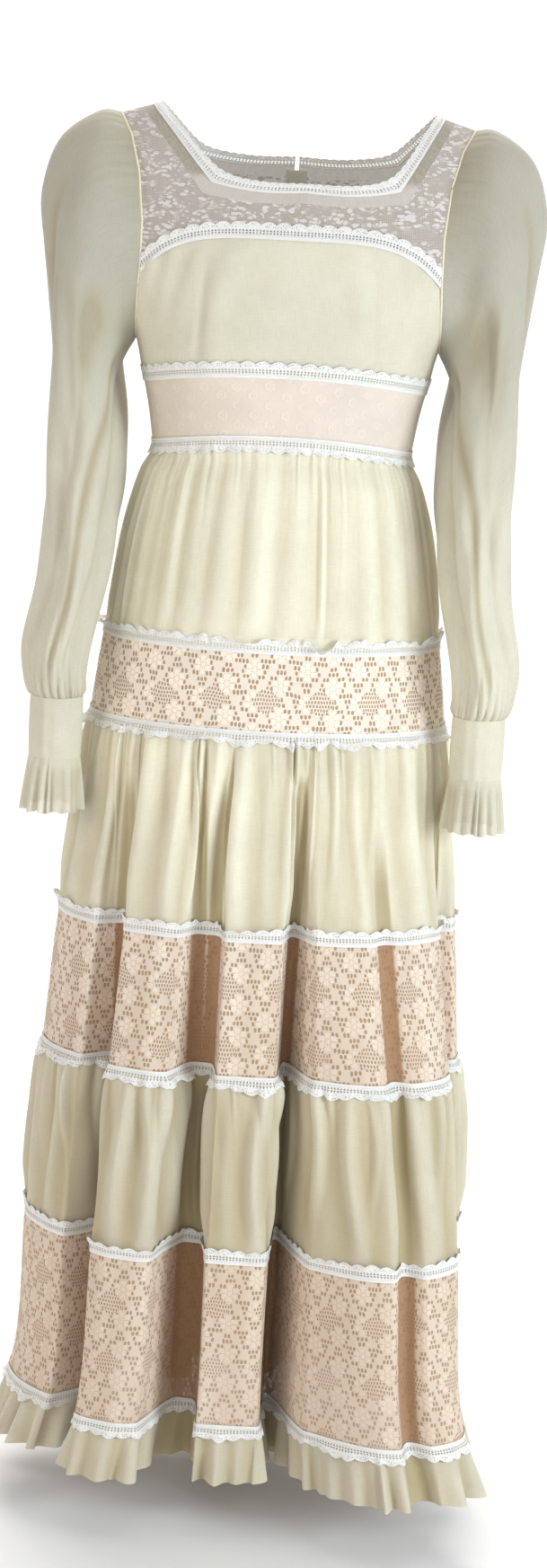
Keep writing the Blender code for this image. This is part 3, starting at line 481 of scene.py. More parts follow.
def smooth_step(t):
    """A smooth ramp from 0 to 1."""
    t = np.clip(t, 0, 1)
    return t * t * (3 - 2 * t)


FINE = pleats(3, 112)
MEDIUM = pleats(5, 64, 1.2)
WIDE = pleats(8, 46, 2.4)
HEM_FLUTES = ripple(13, 50)
HEM_PLEATS = pleats(14, 84, 1.5)


def tier_lift(z, top, bottom, depth, u):
    """How far a gathered tier stands out at a level, for places from 0 to 1 round it."""
    share = (top - z) / (top - bottom)
    start = 1 - np.exp(-share / 0.05)
    drift = 0.0022 * np.sin(5 * share + 9 * u)
    fine = FINE(u + drift) * math.exp(-((share / 0.26) ** 2)) * 0.5
    medium = MEDIUM(u + 1.7 * drift) * (0.15 + 0.85 * smooth_step((0.85 - share) / 0.7))
    wide = WIDE(u - drift) * (0.35 + 0.65 * math.sin(math.pi * min(share, 1.0)) ** 0.6)
    wave = start * (fine + 0.6 * medium + 1.4 * wide)
    wave = wave * (0.30 + 0.70 * smooth_step((1 - share) / 0.25))
    return depth * (wave - 0.5 * wave.mean())


def skirt_lift(z, depth, hem_wave):
    """How far the skirt's own gathers stand out at a level."""
    wide = WIDE(AROUND)
    second = (LACE_1_BOTTOM, LACE_2_TOP, depth, AROUND)
    third = (LACE_2_BOTTOM, LACE_3_TOP, THIRD_TIER_SHARE * depth, AROUND + 0.013)
    if z > LACE_1_BOTTOM:
        return np.zeros(SKIRT_COLUMNS)
    if z > LACE_2_TOP:
        return tier_lift(z, *second)
    if z > LACE_2_BOTTOM:
        share = (LACE_2_TOP - z) / (LACE_2_TOP - LACE_2_BOTTOM)
        return tier_lift(LACE_2_TOP, *second) * (1 - share) ** 1.5 + 0.0012 * wide * share
    if z > LACE_3_TOP:
        share = (LACE_2_BOTTOM - z) / (LACE_2_BOTTOM - LACE_3_TOP)
        return 0.0012 * wide * (1 - share) ** 8 + tier_lift(z, *third)
    if z > LACE_3_BOTTOM:
        share = (LACE_3_TOP - z) / (LACE_3_TOP - LACE_3_BOTTOM)
        return tier_lift(LACE_3_TOP, *third) * (1 - share) ** 1.5 + 0.0008 * wide * share
    share = (LACE_3_BOTTOM - z) / (LACE_3_BOTTOM - HEM)
    flutes = HEM_PLEATS(AROUND) - 0.4 + 0.35 * HEM_FLUTES(AROUND)
    return 0.0008 * wide * (1 - share) + hem_wave * flutes * (1.35 * share**0.8)


class Skirt:
    """The skirt's finished surface at any level: its folds, gathers and outward directions."""

    def __init__(self):
        self.depth = bpy.context.scene.lace_dress_skirt.depth
        self.hem_wave = bpy.context.scene.lace_dress_skirt.hem_wave

    def ring(self, z):
        """Points at a level, their painted shade from creases, bent valleys and recesses, and their outward
        directions.
        """
        base = skirt_points(SKIRT_ANGLES, z)
        normal, bend = ring_normals(base)
        lift = skirt_lift(z, self.depth, self.hem_wave)
        held = np.minimum(lift, 0.42 / np.maximum(bend, 1e-3))
        crease_shade = 0 * lift
        if lift.max() > LEAST_SHADED_LIFT:
            crease_shade = 1 - np.clip((lift - lift.min()) / np.ptp(lift), 0, 1)
        # Painted shade: the gathers' creases, tightly bent valleys and the large folds' recesses darken the
        # cloth
        strength = 0.74 if z > LACE_2_BOTTOM else 0.92
        if LACE_2_BOTTOM < z < LACE_2_TOP or LACE_3_BOTTOM < z < LACE_3_TOP:
            strength = 0.40
        inner = smooth_step((bend - 4) / 60)
        shade = np.maximum.reduce([strength * crease_shade, inner, recess_shade_at(SKIRT_ANGLES, z)])
        return base + normal * held[:, None], shade, normal

    def rows(self, levels):
        """A grid of points through level rings, and the painted shade of each."""
        rings = [self.ring(z) for z in levels]
        return np.array([r[0] for r in rings]), np.array([r[1] for r in rings])


def sheet_uv(across, down):
    """Cloth coordinates from the distances along both sides of a sheet."""
    return np.stack(np.meshgrid(across, down), axis=-1)


def grid_uv(grid, closed):
    """Cloth coordinates in metres: along the middle row, and down the columns."""
    across = lengths(grid[grid.shape[0] // 2], closed)
    down = run_of(np.linalg.norm(np.diff(grid, axis=0), axis=2).mean(axis=1))
    return sheet_uv(across, -down)


def cloth(name, grid, finish, nodes=(), closed=False, uv=None, crease_shade=None, middle=None):
    """A sheet of cloth over a grid of points, riding on the dress and standing for its CAD nodes."""
    grid = np.asarray(grid)
    rows, columns = grid.shape[:2]
    uv = grid_uv(grid, closed) if uv is None else uv
    i, k = np.meshgrid(np.arange(rows - 1), np.arange(columns if closed else columns - 1), indexing="ij")
    below, beside = i + 1, (k + 1) % columns
    corners = (i * columns + k, below * columns + k, below * columns + beside, i * columns + beside)
    quads = np.stack(corners, axis=-1).reshape(-1, 4)
    corner_uv = np.stack([uv[i, k], uv[below, k], uv[below, k + 1], uv[i, k + 1]], axis=2).reshape(-1, 4, 2)
    points = grid.reshape(-1, 3)
    first, second = points[quads[:, 2]] - points[quads[:, 0]], points[quads[:, 3]] - points[quads[:, 1]]
    centre = points * (0, 0, 1)
    if closed and middle is None:
        centre = grid.mean(axis=1).repeat(columns, axis=0)
    if (np.cross(first, second) * (points - centre)[quads].mean(axis=1)).sum() < 0:
        quads, corner_uv = quads[:, ::-1], corner_uv[:, ::-1]
    mesh = bpy.data.meshes.new(name)
    mesh.from_pydata(points, [], quads.tolist())
    mesh.uv_layers.new(name="cut").data.foreach_set("uv", corner_uv.astype(np.float32).ravel())
    mesh.polygons.foreach_set("use_smooth", [True] * len(mesh.polygons))
    # Each point's crease value is painted shade, kept on the mesh for its finish
    if crease_shade is not None:
        layer = mesh.attributes.new("crease_shade", "FLOAT", "POINT")
        layer.data.foreach_set("value", np.asarray(crease_shade, np.float32).ravel())
    mesh.update()
    return placed(name, mesh, finish, nodes)


def placed(name, mesh, finish, nodes=()):
    """Links a mesh as a named piece with its finish, riding on the dress."""
    made = bpy.data.objects.new(name, mesh)
    bpy.context.scene.collection.objects.link(made)
    mesh.materials.append(material(finish))
    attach(made, DRESS)
    if nodes:
        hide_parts(*nodes)
    return made


class Wire:
    """A socket to calculate with: every sum of wires adds a node to the tree."""

    def __init__(self, graph, socket):
        self.graph = graph
        self.socket = socket

    def __abs__(self):
        return self.graph.math("ABSOLUTE", self)


def arithmetic(operation):
    """Two methods of a wire for one operation, with the wire before or after the other value."""

    def before(wire, other):
        return wire.graph.math(operation, wire, other)

    def after(wire, other):
        return wire.graph.math(operation, other, wire)

    return before, after


for symbol, operation in (
    ("add", "ADD"),
    ("sub", "SUBTRACT"),
    ("mul", "MULTIPLY"),
    ("truediv", "DIVIDE"),
    ("mod", "FLOORED_MODULO"),
    ("pow", "POWER"),
):
    before, after = arithmetic(operation)
    setattr(Wire, f"__{symbol}__", before)
    setattr(Wire, f"__r{symbol}__", after)


class Node:
    """A node whose outputs are taken as wires, by name or number."""

    def __init__(self, graph, made):
        self.graph = graph
        self.made = made

    def __getitem__(self, key):
        return Wire(self.graph, self.made.outputs[key])


class Graph:
    """Short calls for building a node tree."""

    def __init__(self, tree):
        self.tree = tree

    def put(self, socket, value):
        """Links a wire to a socket, or sets the socket's own value."""
        if isinstance(value, Wire):
            self.tree.links.new(value.socket, socket)
        else:
            socket.default_value = value

    def node(self, kind, inputs=None, **settings):
        """Adds a node with its settings, then fills its inputs."""
        made = self.tree.nodes.new(kind)
        for key, value in settings.items():
            setattr(made, key, value)
        for key, value in (inputs or {}).items():
            self.put(made.inputs[key], value)
        return Node(self, made)

    def math(self, operation, *values):
        """The result of a math node."""
        return self.node("ShaderNodeMath", dict(enumerate(values)), operation=operation)[0]

    def largest(self, first, *others):
        """The largest of several values."""
        for other in others:
            first = self.math("MAXIMUM", first, other)
        return first

    def step(self, value, low, high, start=0.0, end=1.0):
        """A smooth ramp from start to end as value goes from low to high."""
        keys = ("Value", "From Min", "From Max", "To Min", "To Max")
        inputs = dict(zip(keys, (value, low, high, start, end)))
        return self.node("ShaderNodeMapRange", inputs, interpolation_type="SMOOTHSTEP")["Result"]

    def mix(self, factor, first, second):
        """A colour between two."""
        return self.node("ShaderNodeMix", {0: factor, 6: first, 7: second}, data_type="RGBA")[2]

    def noise(self, vector, scale, detail, output="Fac"):
        """Soft noise."""
        return self.node("ShaderNodeTexNoise", {"Vector": vector, "Scale": scale, "Detail": detail})[output]

    def cells(self, vector, scale, randomness, **settings):
        """Distance from the middle of the nearest cell, or from its edge where the feature says so."""
        inputs = {"Vector": vector, "Scale": scale, "Randomness": randomness}
        return self.node("ShaderNodeTexVoronoi", inputs, **settings)["Distance"]

    def mapped(self, vector, scale, turn=0.0):
        """The vector, turned and scaled."""
        inputs = {"Vector": vector, "Rotation": (0, 0, turn), "Scale": scale}
        return self.node("ShaderNodeMapping", inputs)[0]

    def bent(self, vector, scale, amount):
        """The vector, drawn aside by slow noise."""
        inputs = {0: self.noise(vector, scale, 1.0, "Color"), 1: amount, 2: vector}
        return self.node("ShaderNodeVectorMath", inputs, operation="MULTIPLY_ADD")[0]

    def split(self, vector):
        """The three parts of a vector."""
        parts = self.node("ShaderNodeSeparateXYZ", {"Vector": vector})
        return parts[0], parts[1], parts[2]

    def cut(self):
        """Place on the flat cloth, in metres."""
        return self.node("ShaderNodeUVMap", uv_map="cut")["UV"]

    def place(self):
        """Place in the frame, in metres."""
        return self.node("ShaderNodeTexCoord")["Object"]

    def crease_shade(self):
        """Painted shade of creases, fold valleys and recesses at each place, from 0 to 1."""
        return self.node("ShaderNodeAttribute", attribute_name="crease_shade")["Fac"]

    def pattern(self, tree, **inputs):
        """A node group with its inputs filled in."""
        return self.node("ShaderNodeGroup", inputs, node_tree=tree)

    def tone(self, scale):
        """Uneven tone over the dress, from 0 to 1."""
        return self.pattern(blotch_group(), Vector=self.place(), Scale=scale)["Mask"]


def group(name, inputs, outputs, build):
    """A node group made once: its inputs with their defaults, none for a vector, and its outputs."""
    found = bpy.data.node_groups.get(name)
    if found:
        return found
    tree = bpy.data.node_groups.new(name, "ShaderNodeTree")
    for label, default in inputs.items():
        kind = "NodeSocketVector" if default is None else "NodeSocketFloat"
        socket = tree.interface.new_socket(name=label, in_out="INPUT", socket_type=kind)
        if default is not None:
            socket.default_value = default
    for label in outputs:
        tree.interface.new_socket(name=label, in_out="OUTPUT", socket_type="NodeSocketFloat")
    graph = Graph(tree)
    given = Node(graph, tree.nodes.new("NodeGroupInput"))
    result = tree.nodes.new("NodeGroupOutput")
    for label, wire in build(graph, given).items():
        graph.put(result.inputs[label], wire)
    return tree


def weave_group():
    """Fine plain weave with slubs: how dense the cloth is, and its relief."""

    def build(g, given):
        vector, pitch = given["Vector"], given["Thread"]
        u, v, _ = g.split(vector)
        height = g.math("SINE", u / pitch * TURN) * g.math("SINE", v / pitch * TURN) * 0.5 + 0.5
        slubs = g.noise(g.mapped(vector, (90, 900, 1)), 1.0, 3.0)
        ends = g.noise(g.mapped(vector, (900, 70, 1)), 1.0, 2.0)
        uneven = (slubs + ends) * 0.5
        return {"Density": g.step(uneven, 0.35, 0.65), "Height": height * 0.5 + uneven}

    return group("plain_weave", {"Vector": None, "Thread": 0.0006}, ("Density", "Height"), build)


def blotch_group():
    """Soft uneven tone over the cloth, from 0 to 1."""

    def build(g, given):
        inputs = {"Vector": given["Vector"], "Scale": given["Scale"], "Detail": 4.0, "Roughness": 0.6}
        noise = g.node("ShaderNodeTexNoise", inputs)
        return {"Mask": g.step(noise["Fac"], 0.32, 0.72)}

    return group("uneven_tone", {"Vector": None, "Scale": 9.0}, ("Mask",), build)


def nearest_flower(g, u, v, size):
    """Across and up from the nearest flower, in motif lengths, and how far. Columns are in brick order."""
    x = u / (size * COLUMN_SHARE)
    y = v / size + g.math("FLOOR", x) % 2.0 * 0.5
    across = (g.math("FRACT", x) - 0.5) * COLUMN_SHARE
    up = g.math("FRACT", y) - 0.5
    return across, up, g.math("SQRT", across * across + up * up)


def slots(g, u, v, wide, high, fill):
    """Rounded slots in staggered rows: how open each place is, and the middle of its slot."""
    ny = v / high
    half = g.math("FLOOR", ny) % 2.0 * 0.5
    nx = u / wide + half
    dx = abs(g.math("FRACT", nx) - 0.5)
    dy = abs(g.math("FRACT", ny) - 0.5)
    shape = (dx / fill) ** 2.6 + (dy / 0.40) ** 2.2
    middle_u = (g.math("FLOOR", nx) + 0.5 - half) * wide
    middle_v = (g.math("FLOOR", ny) + 0.5) * high
    return g.step(shape, 1.25, 0.75), middle_u, middle_v


def motif_group():
    """Flowers with a heart, ringed by upright slots, and diamonds of small slots between them."""

    def build(g, given):
        size = given["Motif"]
        u, v, _ = g.split(g.bent(given["Vector"], 45.0, (0.0045, 0.0060, 0.0)))
        across, up, radius = nearest_flower(g, u, v, size)
        turn = g.math("ARCTAN2", up, across)
        # Upright slots, six rows to a flower; those that stand in a ring round it are open
        opening, middle_u, middle_v = slots(g, u, v, size * (COLUMN_SHARE / 7), size / 6.0, 0.36)
        distance = nearest_flower(g, middle_u, middle_v, size)[2]
        ring = g.step(distance, 0.28, 0.30) * g.step(distance, 0.45, 0.44)
        # Small slots in diamonds, one to every second flower
        tiny, tiny_u, tiny_v = slots(g, u, v, size * (COLUMN_SHARE / 9), size / 8.0, 0.32)
        wide_x = g.math("FRACT", tiny_u / (size * (2 * COLUMN_SHARE))) - 0.5
        wide_y = g.math("FRACT", tiny_v / (size * 2.0) + 0.25) - 0.5
        lattice = g.step(abs(wide_x) * (2 * COLUMN_SHARE) + abs(wide_y) * 2.0, 0.50, 0.46)
        outside = 1.0 - lattice
        # Six petals with narrow gaps between them, and small gaps round the heart
        between = abs(g.math("SINE", turn * 3.0))
        slit = g.step(between, 0.34, 0.16) * g.step(radius, 0.12, 0.15) * g.step(radius, 0.27, 0.24)
        heart_ring = abs(radius - 0.095)
        beads = g.step(g.math("COSINE", turn * 8.0), -0.1, 0.3)
        heart = g.step(heart_ring, 0.034, 0.018) * beads
        inner = g.largest(slit, heart) * outside
        flower = g.step(0.24 + between * 0.05 - radius, -0.01, 0.02) * outside
        gaps = g.largest(opening * ring * outside, tiny * lattice * 0.9, inner * 0.5) * given["Open"]
        thread = 1.0 - gaps
        edge = flower * g.step(heart_ring, 0.02, 0.06)
        raised = edge * 0.7 + g.step(radius, 0.06, 0.03) * 0.4
        return {"Thread": thread, "Motif": flower, "Height": (raised + 0.3) * thread}

    inputs = {"Vector": None, "Motif": 0.033, "Open": 1.0}
    return group("flower_lace", inputs, ("Thread", "Motif", "Height"), build)


def dab_group():
    """White petals and leaves worked in clumps on a fine net, as on the yoke."""

    def build(g, given):
        vector = given["Vector"]
        bent = g.bent(vector, 60.0, (0.006, 0.006, 0.0))
        leaning = g.cells(g.mapped(bent, (125, 240, 1), 0.7), 1.0, 0.85)
        opposed = g.cells(g.mapped(bent, (140, 250, 1), -0.9), 1.0, 0.9)
        side = g.step(g.noise(vector, 52.0, 2.0), 0.46, 0.54)
        first = g.step(leaning, 0.56, 0.44) * side
        second = g.step(opposed, 0.54, 0.42) * (1.0 - side)
        spread = g.noise(vector, 34.0, 1.0)
        dabs = g.largest(first, second) * g.step(spread, 0.30, 0.44)
        net = g.step(g.cells(vector, 620.0, 0.25, feature="DISTANCE_TO_EDGE"), 0.24, 0.14)
        dots = g.step(g.cells(vector, 210.0, 1.0), 0.20, 0.12) * g.step(spread, 0.56, 0.62)
        return {"Dab": dabs, "Net": net, "Eyelet": dots * (1.0 - dabs)}

    return group("petal_dabs", {"Vector": None}, ("Dab", "Net", "Eyelet"), build)


def edging_group():
    """Scalloped edging: a cord along the sewn side, two rows of triangular gaps, a net and picots."""

    def build(g, given):
        u, v, _ = g.split(given["Vector"])
        along = u / given["Scallop"]
        arc = abs(g.math("SINE", along * math.pi))
        picot = abs(g.math("SINE", along * (6 * math.pi))) * 0.0005
        depth = given["Width"] + (arc - 1.0) * given["Rise"] + picot - v
        zigzag = g.math("PINGPONG", u / 0.0034, 1.0)
        rows = []
        for level, height, turned in ((0.0052, 0.0011, False), (0.0082, 0.0011, True)):
            up = (v - level) / height
            lean = (up + 1.0) * 0.5
            width = (1.0 - lean if turned else lean) * 0.42
            rows.append(g.step(width - abs(zigzag - 0.5), -0.02, 0.05) * g.step(abs(up), 1.0, 0.8))
        net = g.step(g.cells(given["Vector"], 520.0, 0.5), 0.34, 0.22)
        net = net * g.step(v, 0.0100, 0.0108) * g.step(depth, 0.0016, 0.0024)
        thread = (1.0 - g.largest(*rows, net * 0.75)) * g.step(depth, 0.0002, 0.0007)
        rim = g.step(abs(depth - 0.0013), 0.0011, 0.0004)
        cord = g.step(abs(v - 0.0032), 0.0009, 0.0002)
        return {"Thread": thread, "Height": (g.largest(rim, cord) + 0.4) * thread}

    inputs = {"Vector": None, "Scallop": 0.015, "Width": 0.0172, "Rise": 0.0030}
    return group("scalloped_net", inputs, ("Thread", "Height"), build)


def new_graph(name):
    """The node tree of a new material."""
    made = bpy.data.materials.new(name)
    made.use_nodes = True
    return made, Graph(made.node_tree)


def fill_shader(graph, relief, strength, depth, values):
    """Gives the Principled shader its relief and its other values, by the names of its inputs."""
    bump = graph.node("ShaderNodeBump", {"Height": relief, "Strength": strength, "Distance": depth})
    shader = graph.tree.nodes["Principled BSDF"]
    for key, value in {"Normal": bump[0], **values}.items():
        graph.put(shader.inputs[key], value)


def color4(color, share=1.0):
    """The colour at a share of its brightness, with full cover."""
    return (*[c * share for c in color], 1.0)


def toned(color, *shares):
    """The colour with its red, green and blue taken down by their own shares."""
    return color4([c * share for c, share in zip(color, shares)])


def shaded_towards_hem(graph, color, deep):
    """The colour, with painted shade deepening it towards the hem."""
    height = graph.split(graph.place())[2]
    return graph.mix(graph.step(height, -0.62, -1.20, 0.0, 0.5), color, deep)


def voile(name, density, shade_share=1.0, head=0.0):
    """Sheer cotton voile: cream and a little denser in its creases, with painted shade that deepens it in
    its creases and towards the hem. A share below 1 darkens the whole copy as painted shade, and head
    paints grey shade over a sleeve's top.
    """
    settings = bpy.context.scene.lace_dress_cloth
    made, g = new_graph(name)
    weave = g.pattern(weave_group(), Vector=g.cut(), Thread=0.0007)
    crease_shade = g.crease_shade()
    light = g.mix(g.tone(7.0), color4(settings.color, 1.04 * shade_share), color4(settings.color, 0.88 * shade_share))
    # Painted shade, darker towards the hem
    light = shaded_towards_hem(g, light, color4(HEM_SHADE, shade_share))
    # Painted grey shade over a sleeve's top
    height = g.split(g.place())[2]
    light = g.mix(g.step(height, -0.50, -0.16, 0.0, head), light, color4(SLEEVE_HEAD_SHADE))
    # Painted shade: the cream deepens towards the fold colour in the creases
    shade = g.mix(crease_shade ** 1.7 * 0.85, light, color4(settings.crease_shade_color, 0.9 * shade_share))
    cover = density - 0.05 + weave["Density"] * 0.07 + crease_shade * 0.08
    fill_shader(g, weave["Height"], 0.25, 0.0003, {
        "Base Color": shade,
        "Alpha": g.math("MINIMUM", cover, 1.0),
        "Roughness": 0.78,
        "Sheen Weight": 0.25,
        "Sheen Roughness": 0.4,
        "Specular IOR Level": 0.25,
    })
    return made


def lace(name, color, motif, opened, contrast=0.8):
    """Insertion lace: raised flowers on a dense ground, open in slots round them, with painted shade in the
    slots and creases and towards the hem.
    """
    made, g = new_graph(name)
    vector = g.cut()
    pattern = g.pattern(motif_group(), Vector=vector, Motif=motif, Open=opened)
    ground = g.mix(g.tone(11.0), color4(color, 0.98), color4(color, 0.87))
    shade = g.mix(pattern["Motif"] * contrast, ground, color4(color, 1.10))
    # Painted shade, darker towards the hem
    shade = shaded_towards_hem(g, shade, toned(color, 0.74, 0.68, 0.60))
    # Painted shade: the slots take a dark tan, for the dim inside of the skirt seen through them
    shade = g.mix(g.step(pattern["Thread"], 0.75, 0.25), shade, toned(color, 0.50, 0.41, 0.32))
    # Painted shade: brown in the creases
    shade = g.mix(g.crease_shade() ** 1.5 * 0.92, shade, toned(color, 0.42, 0.27, 0.16))
    fill_shader(g, pattern["Height"] + g.noise(vector, 1100.0, 2.0) * 0.6, 0.6, 0.0006, {
        "Base Color": shade,
        "Alpha": g.step(pattern["Thread"], 0.2, 0.8, 0.93, 0.99),
        "Roughness": 0.85,
        "Sheen Weight": 0.15,
        "Specular IOR Level": 0.2,
    })
    return made


def yoke_net(name, color):
    """Pinkish net with white petals and leaves."""
    made, g = new_graph(name)
    pattern = g.pattern(dab_group(), Vector=g.cut())
    dab, net = pattern["Dab"], pattern["Net"]
    ground = g.mix(net, color4(color, 0.51), color4(color, 0.65))
    cover = g.largest(0.66 + net * 0.22, dab) - pattern["Eyelet"] * 0.45
    fill_shader(g, dab + net * 0.2, 0.7, 0.0007, {
        "Base Color": g.mix(dab, ground, color4(YOKE_DAB)),
        "Alpha": cover,
        "Roughness": 0.85,
        "Specular IOR Level": 0.2,
    })
    return made


def edging(name, scallop, rise):
    """White edging with its cord, gaps, net and scallops."""
    color = bpy.context.scene.lace_dress_lace.edging_color
    made, g = new_graph(name)
    vector = g.cut()
    pattern = g.pattern(edging_group(), Vector=vector, Scallop=scallop, Width=0.0170, Rise=rise)
    fill_shader(g, pattern["Height"] + g.noise(vector, 1500.0, 1.0) * 0.5, 0.7, 0.0006, {
        "Base Color": g.mix(g.tone(30.0), color4(color), color4(color, 0.93)),
        "Alpha": pattern["Thread"] * 0.94,
        "Roughness": 0.8,
        "Sheen Weight": 0.2,
        "Specular IOR Level": 0.2,
    })
    return made


def sheer_insert(name):
    """Voile of the neckline's insert, with a taupe painted shade, paler along the front."""
    made, g = new_graph(name)
    weave = g.pattern(weave_group(), Vector=g.cut(), Thread=0.0008)
    insert_shade = g.mix(weave["Density"], (0.33, 0.29, 0.22, 1), (0.41, 0.37, 0.29, 1))
    height = g.split(g.place())[2]
    fill_shader(g, weave["Height"], 0.3, 0.0003, {
        # Painted shade: taupe along the sides of the neckline, paler along the front
        "Base Color": g.mix(g.step(height, -0.066, -0.076), insert_shade, (0.62, 0.57, 0.52, 1)),
        "Alpha": 0.72 + weave["Density"] * 0.10,
        "Roughness": 0.7,
    })
    return made


def plain(name, bright, deep, roughness, metallic, scale):
    """Small hard pieces and thread, a little uneven in tone."""
    made, g = new_graph(name)
    noise = g.noise(g.place(), scale, 3.0)
    mask = g.step(noise, 0.35, 0.65)
    fill_shader(g, noise, 0.15, 0.0002, {
        "Base Color": g.mix(mask, color4(bright), color4(deep)),
        "Roughness": roughness - 0.05 + mask * 0.1,
        "Metallic": metallic,
    })
    return made


# Bright and deep colour, roughness, metallic and the scale of the unevenness
PLAIN_LOOKS = {
    "zip_tape": ((0.78, 0.74, 0.64), (0.70, 0.66, 0.56), 0.75, 0.0, 700.0),
    "zip_chain": ((0.80, 0.76, 0.62), (0.70, 0.65, 0.52), 0.45, 0.0, 400.0),
    "zip_metal": ((0.78, 0.74, 0.64), (0.62, 0.58, 0.50), 0.32, 1.0, 300.0),
    "button_shell": ((0.88, 0.84, 0.74), (0.78, 0.73, 0.60), 0.22, 0.0, 160.0),
    "sewing_thread": ((0.84, 0.79, 0.63), (0.74, 0.68, 0.50), 0.70, 0.0, 900.0),
}


def material(name):
    """The finish of that name, made the first time it is asked for."""
    label = "finish_" + name
    found = bpy.data.materials.get(label)
    if found:
        return found
    if name in PLAIN_LOOKS:
        return plain(label, *PLAIN_LOOKS[name])
    voiles = bpy.context.scene.lace_dress_cloth
    laces = bpy.context.scene.lace_dress_lace
    make, *values = {
        "skirt_voile": (voile, voiles.skirt_density),
        # The bodice, cuff and sleeve voiles are darker copies of the skirt's voile as painted shade; the
        # sleeve's last value paints grey shade over its top
        "bodice_voile": (voile, 0.97, 0.80),
        "cuff_voile": (voile, 0.96, 0.80),
        "sleeve_voile": (voile, voiles.sleeve_density, 0.82, 0.70),
        "band_lace": (lace, laces.color, laces.motif, 1.0),
        "waist_lace": (lace, laces.waist_color, 0.6 * laces.motif, 0.30, 0.2),
        "yoke_lace": (yoke_net, laces.yoke_color),
        "white_edging": (edging, laces.scallop, 0.0030),
        "neck_edging": (edging, 0.6 * laces.scallop, 0.0014),
        "sheer_insert": (sheer_insert,),
    }[name]
    return make(label, *values)


def skirt_piece(name, levels, nodes):
    """A closed length of the skirt's voile through level rings."""
    grid, crease_shade = Skirt().rows(levels)
    return cloth(name, grid, "skirt_voile", nodes, closed=True, crease_shade=crease_shade, middle="axis")


def lace_halves(number, top, bottom, count):
    """A lace band in its front and its back length, joined at the sides."""
    grid, crease_shade = Skirt().rows(np.linspace(top, bottom, count))
    grid = np.concatenate([grid, grid[:, :1]], axis=1)
    crease_shade = np.concatenate([crease_shade, crease_shade[:, :1]], axis=1)
    half = int(np.searchsorted(SKIRT_ANGLES, math.pi / 2))
    made = []
    for side, part in (("front", slice(0, half + 1)), ("back", slice(half, None))):
        name, nodes = f"insertion_{number}_{side}", [f"lace_{number}_{side}"]
        made.append(cloth(name, grid[:, part], "band_lace", nodes, crease_shade=crease_shade[:, part]))
    return made


def edging_grid(skirt, seam, down, wave, flip):
    """Rows of an edging from its sewn side to its free side, following the cloth under it."""
    turn = -1 if down else 1
    rows = []
    for across in EDGING_ROWS - TRIM_OVERLAP:
        free = smooth_step((across + TRIM_OVERLAP * 0.4) / TRIM_FREE)
        lean = flip * free
        z = seam + turn * across * (1 - 0.35 * np.minimum(lean / 0.01, 1.0).mean())
        points, _, normal = skirt.ring(z)
        out = 0.0011 + 0.0012 * free + np.maximum(wave, -0.6) * 0.0026 * free + lean * free
        points = points + normal * out[:, None]
        points[:, 2] += turn * free * (0.0024 * wave - 0.55 * lean)
        rows.append(points)
    return np.array(rows)


def edging_uv(grid, marks, closed):
    """Cloth coordinates of an edging: along its sewn side, and out from it."""
    return sheet_uv(lengths(grid[1], closed), marks)


class DressPiece:
    """What every operator here shares."""

    bl_options = {"REGISTER"}


class LACEDRESS_OT_finishes(DressPiece, bpy.types.Operator):
    """Makes the finishes of the small hard parts that stay as the solids show them"""

    bl_idname = "lacedress.finishes"
    bl_label = "Zip slider and pull"

    def execute(self, context):
        for node in ("zip_slider", "zip_pull"):
            piece = frame["nodes"][node]
            piece.data.materials.clear()
            piece.data.materials.append(material("zip_metal"))
        return {"FINISHED"}


class LACEDRESS_OT_skirt(DressPiece, bpy.types.Operator):
    """Makes the second and third tiers and the hem ruffle"""

    bl_idname = "lacedress.skirt"
    bl_label = "Lower tiers and hem ruffle"

    def execute(self, context):
        second = skirt_piece("voile_tier_2", tier_rows(LACE_1_BOTTOM, LACE_2_TOP, 44), ["tier_2"])
        third = skirt_piece("voile_tier_3", tier_rows(LACE_2_BOTTOM, LACE_3_TOP, 40), ["tier_3"])
        ruffle = skirt_piece("voile_hem_ruffle", np.linspace(LACE_3_BOTTOM, HEM, 15), ["hem_ruffle"])
        return {"FINISHED"}


def tier_rows(top, bottom, count):
    """Levels of a tier, closer together under its gathered seam."""
    share = np.linspace(0, 1, count)
    return top + (bottom - top) * (0.55 * share + 0.45 * share**2)


class LACEDRESS_OT_first_tier(DressPiece, bpy.types.Operator):
    """Makes the top tier, gathered under the waist lace and open at the back for the zip"""

    bl_idname = "lacedress.first_tier"
    bl_label = "First tier"

    def execute(self, context):
        shares = np.linspace(0, 1, 40)
        rings = [first_tier_ring(share) for share in 0.6 * shares + 0.4 * shares**2]
        grid, crease_shade = (np.array([ring[k] for ring in rings]) for k in (0, 1))
        made = cloth("voile_tier_1", grid, "skirt_voile", ["tier_1"], crease_shade=crease_shade)
        return {"FINISHED"}


def open_at_zip(points):
    """The points of a ring from zip to zip, with its ends drawn apart for the zip."""
    points[0, 0], points[-1, 0] = -ZIP_OPENING, ZIP_OPENING
    return points


